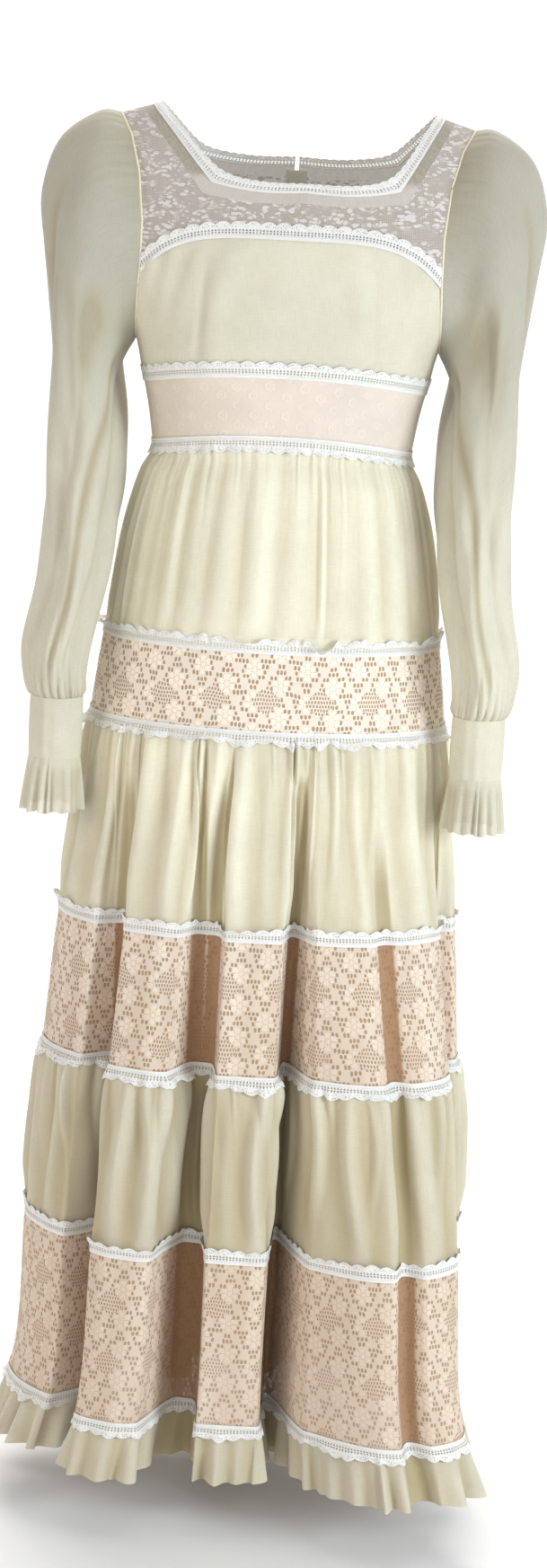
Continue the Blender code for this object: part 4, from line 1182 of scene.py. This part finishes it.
def first_tier_ring(share):
    """Points of the first tier at a share of its height, the painted shade of its creases and its outward
    directions.
    """
    angles = np.linspace(-math.pi, math.pi, TIER_1_COLUMNS + 1)
    u = (angles + math.pi) / TURN
    start_z = waist_z(WAIST_LACE_BOTTOM, angles)
    points = body_points(angles, start_z + share * (LACE_1_TOP - start_z))
    normal = level_normals(np.gradient(points, axis=0))
    at_zip = smooth_step((np.abs(points[:, 0]) - 0.006) / 0.03)
    at_zip = np.where(np.cos(angles) < 0, at_zip, 1.0)
    start = 1 - np.exp(-share / 0.05)
    drift = 0.003 * np.sin(4 * share + 7 * u)
    fine = pleats(21, 104)(u + drift) * math.exp(-((share / 0.22) ** 2)) * 0.5
    medium = pleats(22, 54, 1.2)(u + drift) * (0.10 + 0.90 * smooth_step((0.8 - share) / 0.8)) * 0.45
    wide = pleats(23, 34, 1.5)(u) * math.sin(math.pi * share) ** 0.7 * 1.3
    depth = FIRST_TIER_SHARE * bpy.context.scene.lace_dress_skirt.depth
    lift = depth * start * (fine + medium + wide) * at_zip * smooth_step((1.02 - share) / 0.2)
    crease_shade = 1 - np.clip(lift / lift.max(), 0, 1) if lift.max() > LEAST_SHADED_LIFT else 0 * lift
    return open_at_zip(points + normal * lift[:, None]), FIRST_TIER_CREASE_SHADE * crease_shade * at_zip, normal


class LACEDRESS_OT_lace_bands(DressPiece, bpy.types.Operator):
    """Makes the three lace bands of the skirt, each in a front and a back length"""

    bl_idname = "lacedress.lace_bands"
    bl_label = "Skirt lace bands"

    def execute(self, context):
        for number, top, bottom, count, size in (
            (1, LACE_1_TOP, LACE_1_BOTTOM, 14, (0.50, 0.087)),
            (2, LACE_2_TOP, LACE_2_BOTTOM, 22, (0.79, 0.148)),
            (3, LACE_3_TOP, LACE_3_BOTTOM, 28, (1.14, 0.187)),
        ):
            for half in lace_halves(number, top, bottom, count):
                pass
        return {"FINISHED"}


class LACEDRESS_OT_waist_lace(DressPiece, bpy.types.Operator):
    """Makes the lace insertion under the bust"""

    bl_idname = "lacedress.waist_lace"
    bl_label = "Waist lace"

    def execute(self, context):
        angles = np.linspace(-math.pi, math.pi, WAIST_COLUMNS + 1)
        top, bottom = waist_z(WAIST_LACE_TOP, angles), waist_z(WAIST_LACE_BOTTOM, angles)
        shares = np.linspace(0, 1, 12)
        rows = [open_at_zip(body_points(angles, top * (1 - s) + bottom * s)) for s in shares]
        made = cloth("waist_insertion", rows, "waist_lace", ["waist_lace"])
        return {"FINISHED"}


class LACEDRESS_OT_edgings(DressPiece, bpy.types.Operator):
    """Makes the white scalloped edgings along the seams of the skirt and waist"""

    bl_idname = "lacedress.edgings"
    bl_label = "Skirt and waist edgings"

    def execute(self, context):
        skirt = Skirt()
        for name, seam, down, lean, seed, length in (
            ("1_top", LACE_1_TOP, False, 0.75, 61, 0.97),
            ("1_bottom", LACE_1_BOTTOM, True, 0.65, 62, 1.02),
            ("2_top", LACE_2_TOP, False, 0.22, 63, 1.38),
            ("2_bottom", LACE_2_BOTTOM, True, 0.30, 64, 1.80),
            ("3_top", LACE_3_TOP, False, 0.20, 65, 2.21),
            ("3_bottom", LACE_3_BOTTOM, True, 0.22, 66, 2.42),
        ):
            wave = ripple(seed, 26)(AROUND)
            flip = lean * EDGING_FLIP * np.maximum(ripple(seed + 20, 9)(AROUND), 0.0) ** 1.3
            grid = edging_grid(skirt, seam, down, wave, flip)
            uv = edging_uv(grid, EDGING_ROWS, True)
            nodes = [f"trim_{name}"]
            made = cloth(f"edging_{name}", grid, "white_edging", nodes, closed=True, uv=uv, middle="axis")
        for name, down in (("top", False), ("bottom", True)):
            grid = waist_edging(down)
            uv = edging_uv(grid, EDGING_ROWS, False)
            made = cloth(f"waist_edging_{name}", grid, "white_edging", [f"waist_trim_{name}"], uv=uv)
        return {"FINISHED"}


def waist_edging(down):
    """Rows of the edging along the top or the bottom of the waist lace."""
    angles = np.linspace(-math.pi, math.pi, TIER_1_COLUMNS + 1)
    wave = ripple(71 + down, 18)((angles + math.pi) / TURN)
    height = waist_z(WAIST_LACE_BOTTOM, angles).mean() - LACE_1_TOP
    rows = []
    for across in EDGING_ROWS - TRIM_OVERLAP:
        free = smooth_step(across / TRIM_FREE)
        if down:
            out = 0.0012 + 0.0010 * free + 0.0016 * free * np.maximum(wave, -0.5)
        else:
            out = 0.0012 + 0.0003 * free + 0.0008 * free * np.maximum(wave, -0.4)
        if down and across > 0:
            points, _, normal = first_tier_ring(across / height)
        elif down:
            points, normal = waist_ring(WAIST_LACE_BOTTOM, across, angles)
        else:
            points, normal = waist_ring(WAIST_LACE_TOP, -across, angles)
        rows.append(open_at_zip(points + normal * out[:, None]))
    return np.array(rows)


def waist_ring(level, below, angles):
    """Points of the body beside a waist seam, and their normals."""
    points = body_points(angles, waist_z(level, angles) - below)
    return points, level_normals(np.gradient(points, axis=0))


def neck_path(side, out, count, lean=0.0):
    """The neckline in the front elevation, from shoulder to middle, in even shares per leg.

    The dress hangs a little askew on its stand, so the front neckline leans towards +X.
    """
    corner, middle = ((0.086, -0.069), (0.0, -0.074)) if side < 0 else ((0.098, -0.041), (0.0, -0.046))
    tip = NECK_HALF_WIDTH + out
    shoulder = np.array((tip, float(strap_level(tip))))
    corner = np.array((corner[0] + 0.8 * out + lean, corner[1] - out))
    middle = np.array((middle[0] + lean, middle[1] - out))
    t = np.linspace(0, 1, count)[:, None]
    down = shoulder + (corner - shoulder) * t**1.6
    across = corner + (middle - corner) * t
    across[:, 1] -= 0.004 * np.sin(math.pi * t[:, 0])
    return np.vstack([down, across[1:]])


def rounded_path(path, amount):
    """The path with its corner eased towards the opening."""
    middle = path[-1, 0]
    mirrored = np.vstack([path, ((path - (middle, 0)) * (-1, 1) + (middle, 0))[-2::-1]])
    run = lengths(mirrored)
    even = np.linspace(0, run[-1], 401)
    line = np.stack([np.interp(even, run, mirrored[:, k]) for k in (0, 1)], axis=1)
    step = even[1]
    half = int(3 * amount / step)
    kernel = np.exp(-0.5 * (np.arange(-half, half + 1) * step / amount) ** 2)
    kernel /= kernel.sum()
    start = 2 * line[0] - line[1 : half + 1][::-1]
    end = 2 * line[-1] - line[-half - 1 : -1][::-1]
    padded = np.vstack([start, line, end])
    eased = np.stack([np.convolve(padded[:, k], kernel, "valid") for k in (0, 1)], axis=1)
    return np.stack([np.interp(run[: len(path)], even, eased[:, k]) for k in (0, 1)], axis=1)


def yoke_outer(count):
    """The yoke's outer edge at the same shares as the neckline: armhole, then arched seam."""
    t = np.linspace(0, 1, count) ** 1.6
    top = float(strap_level(SHOULDER_TIP))
    z = top + t * (arch_z(ARCH_CORNER) - top)
    armhole = np.stack([armhole_x(z), z], axis=1)
    angle = (1 - np.linspace(0, 1, count)) * math.pi / 2
    x = body_points(angle, arch_z(ARCH_CORNER * np.sin(angle)))[:, 0]
    arch = np.stack([x, arch_z(x)], axis=1)
    return np.vstack([armhole, arch[1:]])


def bodice_grid(rows, side, half, other_rows=None):
    """Bodice points from rows of (x, z) that run from the left shoulder to the middle."""

    def on_body(row):
        x, z = row.T
        return bodice_points(x, np.minimum(z, strap_level(x)), side)

    grid = []
    for row, other in zip(rows, other_rows or rows):
        left, right = on_body(row), on_body(other) * (-1, 1, 1)
        if half == 0:
            grid.append(np.vstack([left, right[-2::-1]]))
        else:
            chosen = left if half > 0 else right
            chosen[-1, 0] = half * ZIP_OPENING
            grid.append(chosen)
    return np.array(grid)


def height_run(z, side):
    """Distance up the front or back at a level, along the cloth."""
    levels = np.linspace(-0.45, 0, 400)
    depth = sections_at(levels)[1 if side < 0 else 2]
    run = lengths(np.stack([depth, levels], axis=1))
    return np.interp(z, levels, run)


def elevation_uv(grid, side):
    """Cloth coordinates of a bodice panel: across, and up along the body."""
    return np.stack([grid[..., 0], height_run(grid[..., 2], side)], axis=-1)


PLACES = (("front", -1, 0), ("back_left", 1, 1), ("back_right", 1, -1))


class LACEDRESS_OT_yoke(DressPiece, bpy.types.Operator):
    """Makes the lace yoke, the sheer insert round the neckline and the edging at its opening"""

    bl_idname = "lacedress.yoke"
    bl_label = "Yoke and neckline"

    def execute(self, context):
        outer = yoke_outer(YOKE_COUNT)
        for place, side, half in PLACES:
            trims, bands, yokes = [], [], []
            for lean in (NECK_LEAN, -NECK_LEAN) if side < 0 else (0.0, 0.0):
                opening, edge, insert = (
                    neck_path(side, out, YOKE_COUNT, lean) for out in (0.0, EDGING_WIDTH, INSERT_END)
                )
                inner = rounded_path(opening, 0.016 if side < 0 else 0.010)
                start = inner + (edge - inner) * 0.78
                trims.append([inner + (edge - inner) * s for s in np.linspace(-0.02, 0.84, 7)])
                bands.append([start + (insert - start) * s for s in np.linspace(0, 1, 5)])
                yokes.append([insert + (outer - insert) * s for s in np.linspace(0, 1, 30)])
            trim, band, yoke = (bodice_grid(r[0], side, half, r[1]) for r in (trims, bands, yokes))
            trim = trim + outward(trim) * 0.0010
            trim_uv = sheet_uv(lengths(trim[0]), np.linspace(0.0172, 0.0, 7))
            yoke_uv = elevation_uv(yoke, side)
            made = cloth(f"neck_edging_{place}", trim, "neck_edging", [f"neck_trim_{place}"], uv=trim_uv)
            made = cloth(f"neck_insert_{place}", band, "sheer_insert", [f"neck_band_{place}"])
            made = cloth(f"yoke_lace_{place}", yoke, "yoke_lace", [f"yoke_{place}"], uv=yoke_uv)
        return {"FINISHED"}


def outward(grid):
    """Unit normals of a grid, pointing away from the body's middle."""
    normal = unit(np.cross(np.gradient(grid, axis=0), np.gradient(grid, axis=1)))
    centre = grid * (0, 0, 1) - (0, 0, 0.1)
    return normal * (1.0 if (normal * (grid - centre)).sum() > 0 else -1.0)


def panel_grid(side, half, rows_count, count):
    """The bust panel or half of the back, with its darts."""
    angles = np.linspace(math.pi / 2, -math.pi / 2, 2 * count + 1)
    corner = (1 - np.abs(angles) / (math.pi / 2)) * math.pi / 2
    near_x = body_points(math.pi / 2 - corner, arch_z(ARCH_CORNER * np.sin(np.abs(angles))))[:, 0]
    near_z = arch_z(near_x)
    far = waist_z(WAIST_LACE_TOP, angles)
    rows = []
    for share in np.linspace(0, 1, rows_count):
        z = near_z + (far - near_z) * share
        x = np.sign(angles) * near_x * (share == 0) + body_points(angles, z)[:, 0] * (share > 0)
        rows.append(bodice_points(x, z, side))
    grid = np.array(rows)
    grid = grid + outward(grid) * bodice_softness(grid, side)[..., None]
    if half > 0:
        grid = grid[:, : count + 1]
    if half < 0:
        grid = grid[:, : count - 1 : -1]
    if half:
        grid[:, -1, 0] = half * ZIP_OPENING
    return grid


def bodice_softness(grid, side):
    """Darts, drag lines and the slack of the voile over the bust."""
    x, z = grid[..., 0], grid[..., 2]
    share = np.clip((-0.135 - z) / 0.125, 0, 1)
    out = np.zeros(x.shape)
    if side < 0:
        for sign in (-1, 1):
            line = sign * (0.083 + 0.006 * share)
            out -= 0.0024 * np.exp(-(((x - line) / 0.0045) ** 2)) * smooth_step(share * 1.6)
            out += 0.0016 * np.exp(-(((x - line + sign * 0.016) / 0.011) ** 2)) * smooth_step(share * 2)
        out += 0.0010 * np.sin(95 * x + 22 * z) * np.exp(-((share - 0.15) / 0.25) ** 2)
        out += 0.0008 * np.sin(60 * z + 30 * x * x * 40) * (1 - share)
    edge = smooth_step(np.minimum(share, 1 - share) / 0.12)
    return out * edge


class LACEDRESS_OT_bodice(DressPiece, bpy.types.Operator):
    """Makes the bust panel with its darts, the two back panels and the edging over the yoke seam"""

    bl_idname = "lacedress.bodice"
    bl_label = "Bodice panels"

    def execute(self, context):
        for place, side, half in PLACES:
            grid = panel_grid(side, half, 42, 90)
            node = "bust_front" if half == 0 else f"bodice_{place}"
            made = cloth(f"voile_{node}", grid, "bodice_voile", [node], uv=elevation_uv(grid, side))
            trim, marks = arch_edging(side, half)
            uv = edging_uv(trim, marks, False)
            made = cloth(f"yoke_edging_{place}", trim, "white_edging", [f"yoke_trim_{place}"], uv=uv)
        return {"FINISHED"}


def arch_edging(side, half):
    """Rows of the edging over the arched seam, from below the seam up over the yoke."""
    angle = np.linspace(math.pi / 2, 0, 151)
    x = body_points(angle, arch_z(ARCH_CORNER * np.sin(angle)))[:, 0]
    seam = np.stack([x, arch_z(x)], axis=1)
    step = np.gradient(seam, axis=0)
    up = unit(np.stack([step[:, 1], -step[:, 0]], axis=1))
    up = up * np.sign(up[:, 1:]) * 0.5 + np.array((0.0, 0.5))
    marks = np.linspace(0, TRIM_OVERLAP + ARCH_TRIM_FREE, 9)
    rows = []
    for mark in marks - TRIM_OVERLAP:
        row = seam + up * mark
        row[:, 0] = np.minimum(row[:, 0], armhole_x(row[:, 1]) - 0.0005)
        rows.append(row)
    grid = bodice_grid(rows, side, half)
    wave = ripple(81 + side, 16)(np.linspace(0, 1, grid.shape[1]))
    free = smooth_step((marks - TRIM_OVERLAP) / ARCH_TRIM_FREE)[:, None]
    return grid + outward(grid) * (0.0011 + free * (0.0003 + 0.0005 * wave))[..., None], marks


def hermite(rings, count):
    """Rings of points along a smooth curve through the given ones, in even steps."""
    rings = np.array(rings)
    run = run_of(np.linalg.norm(np.diff(rings, axis=0), axis=2).mean(axis=1))
    slopes = np.gradient(rings, run, axis=0)
    places = np.linspace(0, run[-1], count)
    result = []
    for place in places:
        i = int(np.clip(np.searchsorted(run, place, side="right") - 1, 0, len(run) - 2))
        span = run[i + 1] - run[i]
        result.append(curve_between(rings, slopes, i, (place - run[i]) / span, span))
    return np.array(result), places


def armhole_ring(turns):
    """The armhole from the shoulder tip by the front to the underarm and up the back, left side."""
    top, bottom = float(strap_level(SHOULDER_TIP)), UNDERARM - 0.0009
    z = (top + bottom) / 2 + (top - bottom) / 2 * np.cos(turns)
    side = np.where(turns % TURN < math.pi, -1, 1)
    return bodice_points(armhole_x(z), z, side)


def beside_seam(seed, count, u, away, reach):
    """Gathers that start at a sewn edge and die out over a reach."""
    return pleats(seed, count)(u) * np.exp(-(away / reach) ** 1.2) * (1 - np.exp(-away / 0.006))


def sleeve_grid():
    """The left sleeve as a fine grid with its gathers and soft folds, and the shade painted into its
    creases, near its seams and along its streaks.
    """
    turns = np.linspace(0, TURN, SLEEVE_COLUMNS, endpoint=False)
    rings = [armhole_ring(turns)]
    for outer_x, outer_z, inner_x, inner_z, half_depth, forward in SLEEVE_RINGS:
        outer = np.array((outer_x, -forward, outer_z))
        inner = np.array((inner_x, -forward, inner_z))
        middle, reach = (outer + inner) / 2, (outer - inner) / 2
        deep = np.array((0, half_depth, 0))
        rings.append(middle + np.cos(turns)[:, None] * reach - np.sin(turns)[:, None] * deep)
    rings.append(cuff_ring(CUFF_TOP, turns))
    grid, run = hermite(rings, 130)
    down = run[:, None]
    left = run[-1] - down
    u = turns[None] / TURN
    top_half = smooth_step((np.cos(turns) + 0.35) / 0.9)[None]
    head = beside_seam(31, 52, u + 0.02 * np.sin(9 * down), down, 0.018) * top_half
    wrist = beside_seam(32, 34, u + 0.03 * np.sin(7 * down), left, 0.055)
    body = smooth_step(down / 0.08) * smooth_step(left / 0.06)
    winding = 3 * u + 0.35 * np.sin(5.2 * down) + 0.9 * down / run[-1]
    folds = LONG_FOLD * body * np.sin(TURN * winding) * np.sin(TURN * (2 * u + 0.15))
    small = np.sin(TURN * (9 * u + 0.5 * np.sin(9 * down))) * np.sin(3 + 14 * down)
    folds = folds + FINE_FOLD * body * small
    normal = unit(np.cross(np.gradient(grid, axis=0), np.roll(grid, -1, axis=1) - np.roll(grid, 1, axis=1)))
    centre = grid.mean(axis=1, keepdims=True)
    normal *= 1.0 if (normal * (grid - centre)).sum() > 0 else -1.0
    gathers = head * np.exp(-(down / 0.03)) + wrist
    near = np.maximum(np.exp(-(down / 0.022)) * top_half, np.exp(-(left / 0.040)))
    # Painted shade near the head and wrist seams, and in the fold valleys
    crease_shade = near * (1 - np.clip(gathers * 1.4, 0, 1)) * 0.8
    shade = np.clip(-folds / 0.008, 0, 1) * 0.75
    lift = HEAD_GATHER * head + WRIST_GATHER * wrist + folds
    for offset, strength in STREAKS:
        line = 2.55 + offset - 1.35 * (down - 0.08) / 0.45 + 0.12 * np.sin(16 * down + 4 * offset)
        streak = strength * np.exp(-(((turns[None] - line) / 0.13) ** 2)) * body
        lift = lift - 0.0045 * streak
        shade = np.maximum(shade, 0.85 * streak)
    slack = body * (0.004 + 0.004 * np.maximum(np.cos(turns), 0))
    return grid + normal * (lift - slack)[..., None], np.maximum(crease_shade, shade)


def cuff_ring(z, turns, wave=0.0, flare=0.0):
    """A level ring of the left cuff or its ruffle."""
    x = CUFF_MIDDLE_X + (CUFF_HALF_WIDTH + wave + flare) * np.cos(turns)
    y = -CUFF_FORWARD - (CUFF_HALF_DEPTH + wave + flare) * np.sin(turns)
    return np.stack([x, y, np.broadcast_to(z, x.shape)], axis=-1)


class LACEDRESS_OT_sleeves(DressPiece, bpy.types.Operator):
    """Makes the puffed sheer sleeves"""

    bl_idname = "lacedress.sleeves"
    bl_label = "Sleeves"

    def execute(self, context):
        grid, crease_shade = sleeve_grid()
        for side, sign in SIDES:
            name, nodes = f"voile_sleeve_{side}", [f"sleeve_{side}"]
            made = cloth(name, grid * (sign, 1, 1), "sleeve_voile", nodes, closed=True, crease_shade=crease_shade)
        return {"FINISHED"}


class LACEDRESS_OT_cuffs(DressPiece, bpy.types.Operator):
    """Makes the cuffs, their ruffles and their buttons"""

    bl_idname = "lacedress.cuffs"
    bl_label = "Cuffs and buttons"

    def execute(self, context):
        turns = np.linspace(0, TURN, CUFF_COLUMNS, endpoint=False)
        shares = np.linspace(0, 1, CUFF_ROWS)
        pucker = 0.0006 * ripple(41, 9)(turns / TURN)
        cuff = []
        for k, s in enumerate(shares):
            swell = 0.0006 * math.sin(math.pi * s) + 0.0004
            level = CUFF_TOP + (CUFF_BOTTOM - CUFF_TOP) * s
            cuff.append(cuff_ring(level, turns, swell + pucker * (0.4 + k / 20)))
        wave = pleats(42, 20, 1.0)(turns / TURN) - 0.35
        ruffle = []
        for s in shares:
            level = CUFF_BOTTOM + (RUFFLE_BOTTOM - CUFF_BOTTOM) * s + 0.0012 * s * np.cos(11 * turns)
            ruffle.append(cuff_ring(level, turns, 0.0095 * s**0.8 * wave, 0.004 * s))
        # Painted shade in the hollows of the wrist ruffle's waves
        shade = 0.7 * (1 - np.clip(wave + 0.35, 0, 1))[None] * np.minimum(1, shares[:, None] * 4)
        for side, sign in SIDES:
            grid = np.array(cuff) * (sign, 1, 1)
            made = cloth(f"voile_cuff_{side}", grid, "cuff_voile", [f"cuff_{side}"], closed=True)
            grid = np.array(ruffle) * (sign, 1, 1)
            name, nodes = f"voile_wrist_ruffle_{side}", [f"wrist_ruffle_{side}"]
            made = cloth(name, grid, "sleeve_voile", nodes, closed=True, crease_shade=shade)
            for number, level in enumerate(BUTTON_LEVELS, 1):
                shell_button(f"shell_button_{side}_{number}", level, sign, f"cuff_button_{side}_{number}")
        return {"FINISHED"}


def small_box(mesh, size, place):
    """Adds a box of that size at a place."""
    made = bmesh.ops.create_cube(mesh, size=1.0)["verts"]
    bmesh.ops.scale(mesh, vec=size, verts=made)
    bmesh.ops.translate(mesh, vec=place, verts=made)


def finished_mesh(name, mesh):
    """The drawn mesh as mesh data."""
    data = bpy.data.meshes.new(name)
    mesh.to_mesh(data)
    mesh.free()
    return data


def shell_button(name, level, sign, node):
    """A small shell button with a raised rim and the two stitches that hold it."""
    mesh = bmesh.new()
    turns = [TURN * k / BUTTON_SEGMENTS for k in range(BUTTON_SEGMENTS)]
    rings = []
    for radius, height in BUTTON_PROFILE:
        places = [(radius * math.cos(turn), radius * math.sin(turn), height) for turn in turns]
        rings.append([mesh.verts.new(place) for place in places])
    top = mesh.verts.new((0, 0, BUTTON_MIDDLE_HEIGHT))
    for k in range(BUTTON_SEGMENTS):
        beside = (k + 1) % BUTTON_SEGMENTS
        mesh.faces.new((top, rings[0][k], rings[0][beside]))
        for a, b in zip(rings, rings[1:]):
            mesh.faces.new((a[k], b[k], b[beside], a[beside]))
    mesh.faces.new(rings[-1][::-1])
    for side in (-1, 1):
        small_box(mesh, (0.0026, 0.0005, 0.0006), (0, 0.0008 * side, 0.0015))
    for face in mesh.faces:
        face.smooth = True
    data = finished_mesh(name, mesh)
    point = cuff_ring(level, np.array([BUTTON_TURN]), 0.0010)[0]
    out_x, out_y = math.cos(BUTTON_TURN) / CUFF_HALF_WIDTH, -math.sin(BUTTON_TURN) / CUFF_HALF_DEPTH
    facing = Vector((sign * out_x, out_y, 0)).to_track_quat("Z", "Y").to_matrix().to_4x4()
    data.transform(Matrix.Translation(Vector(point * (sign, 1, 1))) @ facing)
    placed(name, data, "button_shell", [node])


class LACEDRESS_OT_zip(DressPiece, bpy.types.Operator):
    """Makes the zip's tape and its chain of teeth down the centre back"""

    bl_idname = "lacedress.zip"
    bl_label = "Centre-back zip"

    def execute(self, context):
        z = np.linspace(ZIP_TOP, ZIP_BOTTOM, 90)
        y = bodice_points(np.zeros_like(z), z, 1)[:, 1]
        columns = np.linspace(-ZIP_HALF_WIDTH, ZIP_HALF_WIDTH, 9)
        grid = np.array([[(x, b - TAPE_INSET, a) for x in columns] for a, b in zip(z, y)])
        tape = cloth("zip_tape_woven", grid, "zip_tape", ["zip_tape"])
        chain_teeth(z, y)
        return {"FINISHED"}


def chain_teeth(z, y):
    """Interlocking teeth, alternately from the left and from the right."""
    mesh = bmesh.new()
    run = lengths(np.stack([y, z], axis=1))
    count = int(run[-1] / TOOTH_PITCH)
    for k in range(count):
        place = (k + 0.5) * run[-1] / count
        level, depth = (float(np.interp(place, run, line)) for line in (z, y))
        small_box(mesh, TOOTH_SIZE, (TOOTH_STAGGER * (-1) ** k, depth - 0.0011, level))
    placed("zip_teeth", finished_mesh("zip_teeth", mesh), "zip_chain")


def tube(name, path, radius):
    """A thin cord of thread along a closed path of points."""
    tangent = unit(np.roll(path, -1, axis=0) - np.roll(path, 1, axis=0))
    upright = np.abs(tangent[:, 2:]) > 0.9
    first = unit(np.cross(tangent, np.where(upright, np.array([[1.0, 0, 0]]), np.array([[0, 0, 1.0]]))))
    second = np.cross(tangent, first)
    turns = np.append(np.linspace(0, TURN, CORD_SIDES, endpoint=False), 0.0)
    grid = [path + radius * (math.cos(turn) * first + math.sin(turn) * second) for turn in turns]
    return cloth(name, grid, "sewing_thread", closed=True)


class LACEDRESS_OT_seams(DressPiece, bpy.types.Operator):
    """Makes the corded seams round the armholes"""

    bl_idname = "lacedress.seams"
    bl_label = "Armhole seams"

    def execute(self, context):
        ring = armhole_ring(np.linspace(0, TURN, 200, endpoint=False))
        for side, sign in SIDES:
            tube(f"armhole_seam_{side}", (ring + (0.0004, 0, 0)) * (sign, 1, 1), 0.0013)
        return {"FINISHED"}


class LACEDRESS_OT_stage(DressPiece, bpy.types.Operator):
    """Makes the pale floor, the studio's own light, the soft lamps and the camera"""

    bl_idname = "lacedress.stage"
    bl_label = "Floor, lights and camera"

    def execute(self, context):
        scene = context.scene
        mesh = bpy.data.meshes.new("floor")
        corners = [(x, y, FLOOR_LEVEL) for x, y in ((-6, -7), (6, -7), (6, 5), (-6, 5))]
        mesh.from_pydata(corners, [], [(0, 1, 2, 3)])
        floor = bpy.data.objects.new("floor", mesh)
        scene.collection.objects.link(floor)
        made, g = new_graph("pale_floor")
        noise = g.noise(g.place(), 2.0, 2.0)
        shader = made.node_tree.nodes["Principled BSDF"]
        g.put(shader.inputs["Base Color"], g.mix(noise, (0.86, 0.86, 0.86, 1), (0.88, 0.88, 0.88, 1)))
        shader.inputs["Roughness"].default_value = 0.95
        mesh.materials.append(made)
        world = bpy.data.worlds.new("studio")
        scene.world = world
        world.use_nodes = True
        sky = world.node_tree.nodes["Background"]
        sky.inputs["Color"].default_value = (1.0, 0.985, 0.96, 1)
        # The studio is dim all round but for its white wall behind the dress
        g = Graph(world.node_tree)
        behind = g.split(g.node("ShaderNodeTexCoord")["Generated"])[1]
        g.put(sky.inputs["Strength"], g.step(behind, 0.80, 0.90, 0.42, 1.15))
        scene.view_settings.view_transform = "Standard"
        for name, place, aim, size, power, color in LAMPS:
            data = bpy.data.lights.new(name, "AREA")
            data.size, data.energy, data.color = size, power, color
            lamp = bpy.data.objects.new(name, data)
            lamp.location = place
            lamp.rotation_euler = (Vector(aim) - Vector(place)).to_track_quat("-Z", "Y").to_euler()
            scene.collection.objects.link(lamp)
        data = bpy.data.cameras.new("camera")
        data.sensor_fit = "VERTICAL"
        data.sensor_height = 36.0
        data.lens = CAMERA_LENS
        camera = bpy.data.objects.new("camera", data)
        camera.matrix_world = (
            Matrix.Translation(CAMERA_PLACE)
            @ Matrix.Rotation(math.radians(90 - CAMERA_DOWN), 4, "X")
            @ Matrix.Rotation(math.radians(CAMERA_ROLL), 4, "Z")
        )
        scene.collection.objects.link(camera)
        scene.camera = camera
        return {"FINISHED"}


OPERATORS = (
    LACEDRESS_OT_stage,
    LACEDRESS_OT_finishes,
    LACEDRESS_OT_skirt,
    LACEDRESS_OT_first_tier,
    LACEDRESS_OT_lace_bands,
    LACEDRESS_OT_waist_lace,
    LACEDRESS_OT_edgings,
    LACEDRESS_OT_yoke,
    LACEDRESS_OT_bodice,
    LACEDRESS_OT_sleeves,
    LACEDRESS_OT_cuffs,
    LACEDRESS_OT_zip,
    LACEDRESS_OT_seams,
)


class LACEDRESS_PT_panel(bpy.types.Panel):
    """Lists the pieces and their sizes and colours."""

    bl_idname = "LACEDRESS_PT_panel"
    bl_label = "Lace Dress"
    bl_space_type = "VIEW_3D"
    bl_region_type = "UI"
    bl_category = "Lace Dress"

    def draw(self, context):
        for settings in ("lace_dress_cloth", "lace_dress_lace", "lace_dress_skirt"):
            values = getattr(context.scene, settings)
            for key in values.__annotations__:
                self.layout.prop(values, key)
        for operator in OPERATORS:
            self.layout.operator(operator.bl_idname)


SETTINGS = (
    ("lace_dress_cloth", CreamCloth),
    ("lace_dress_lace", LaceCloth),
    ("lace_dress_skirt", SkirtFullness),
)


def register():
    for name, group_class in SETTINGS:
        bpy.utils.register_class(group_class)
        setattr(bpy.types.Scene, name, PointerProperty(type=group_class))
    for operator in OPERATORS:
        bpy.utils.register_class(operator)
    bpy.utils.register_class(LACEDRESS_PT_panel)


def unregister():
    bpy.utils.unregister_class(LACEDRESS_PT_panel)
    for operator in reversed(OPERATORS):
        bpy.utils.unregister_class(operator)
    for name, group_class in reversed(SETTINGS):
        delattr(bpy.types.Scene, name)
        bpy.utils.unregister_class(group_class)


def main():
    register()
    for operator in OPERATORS:
        section, name = operator.bl_idname.split(".")
        getattr(getattr(bpy.ops, section), name)()


if __name__ == "__main__":
    main()
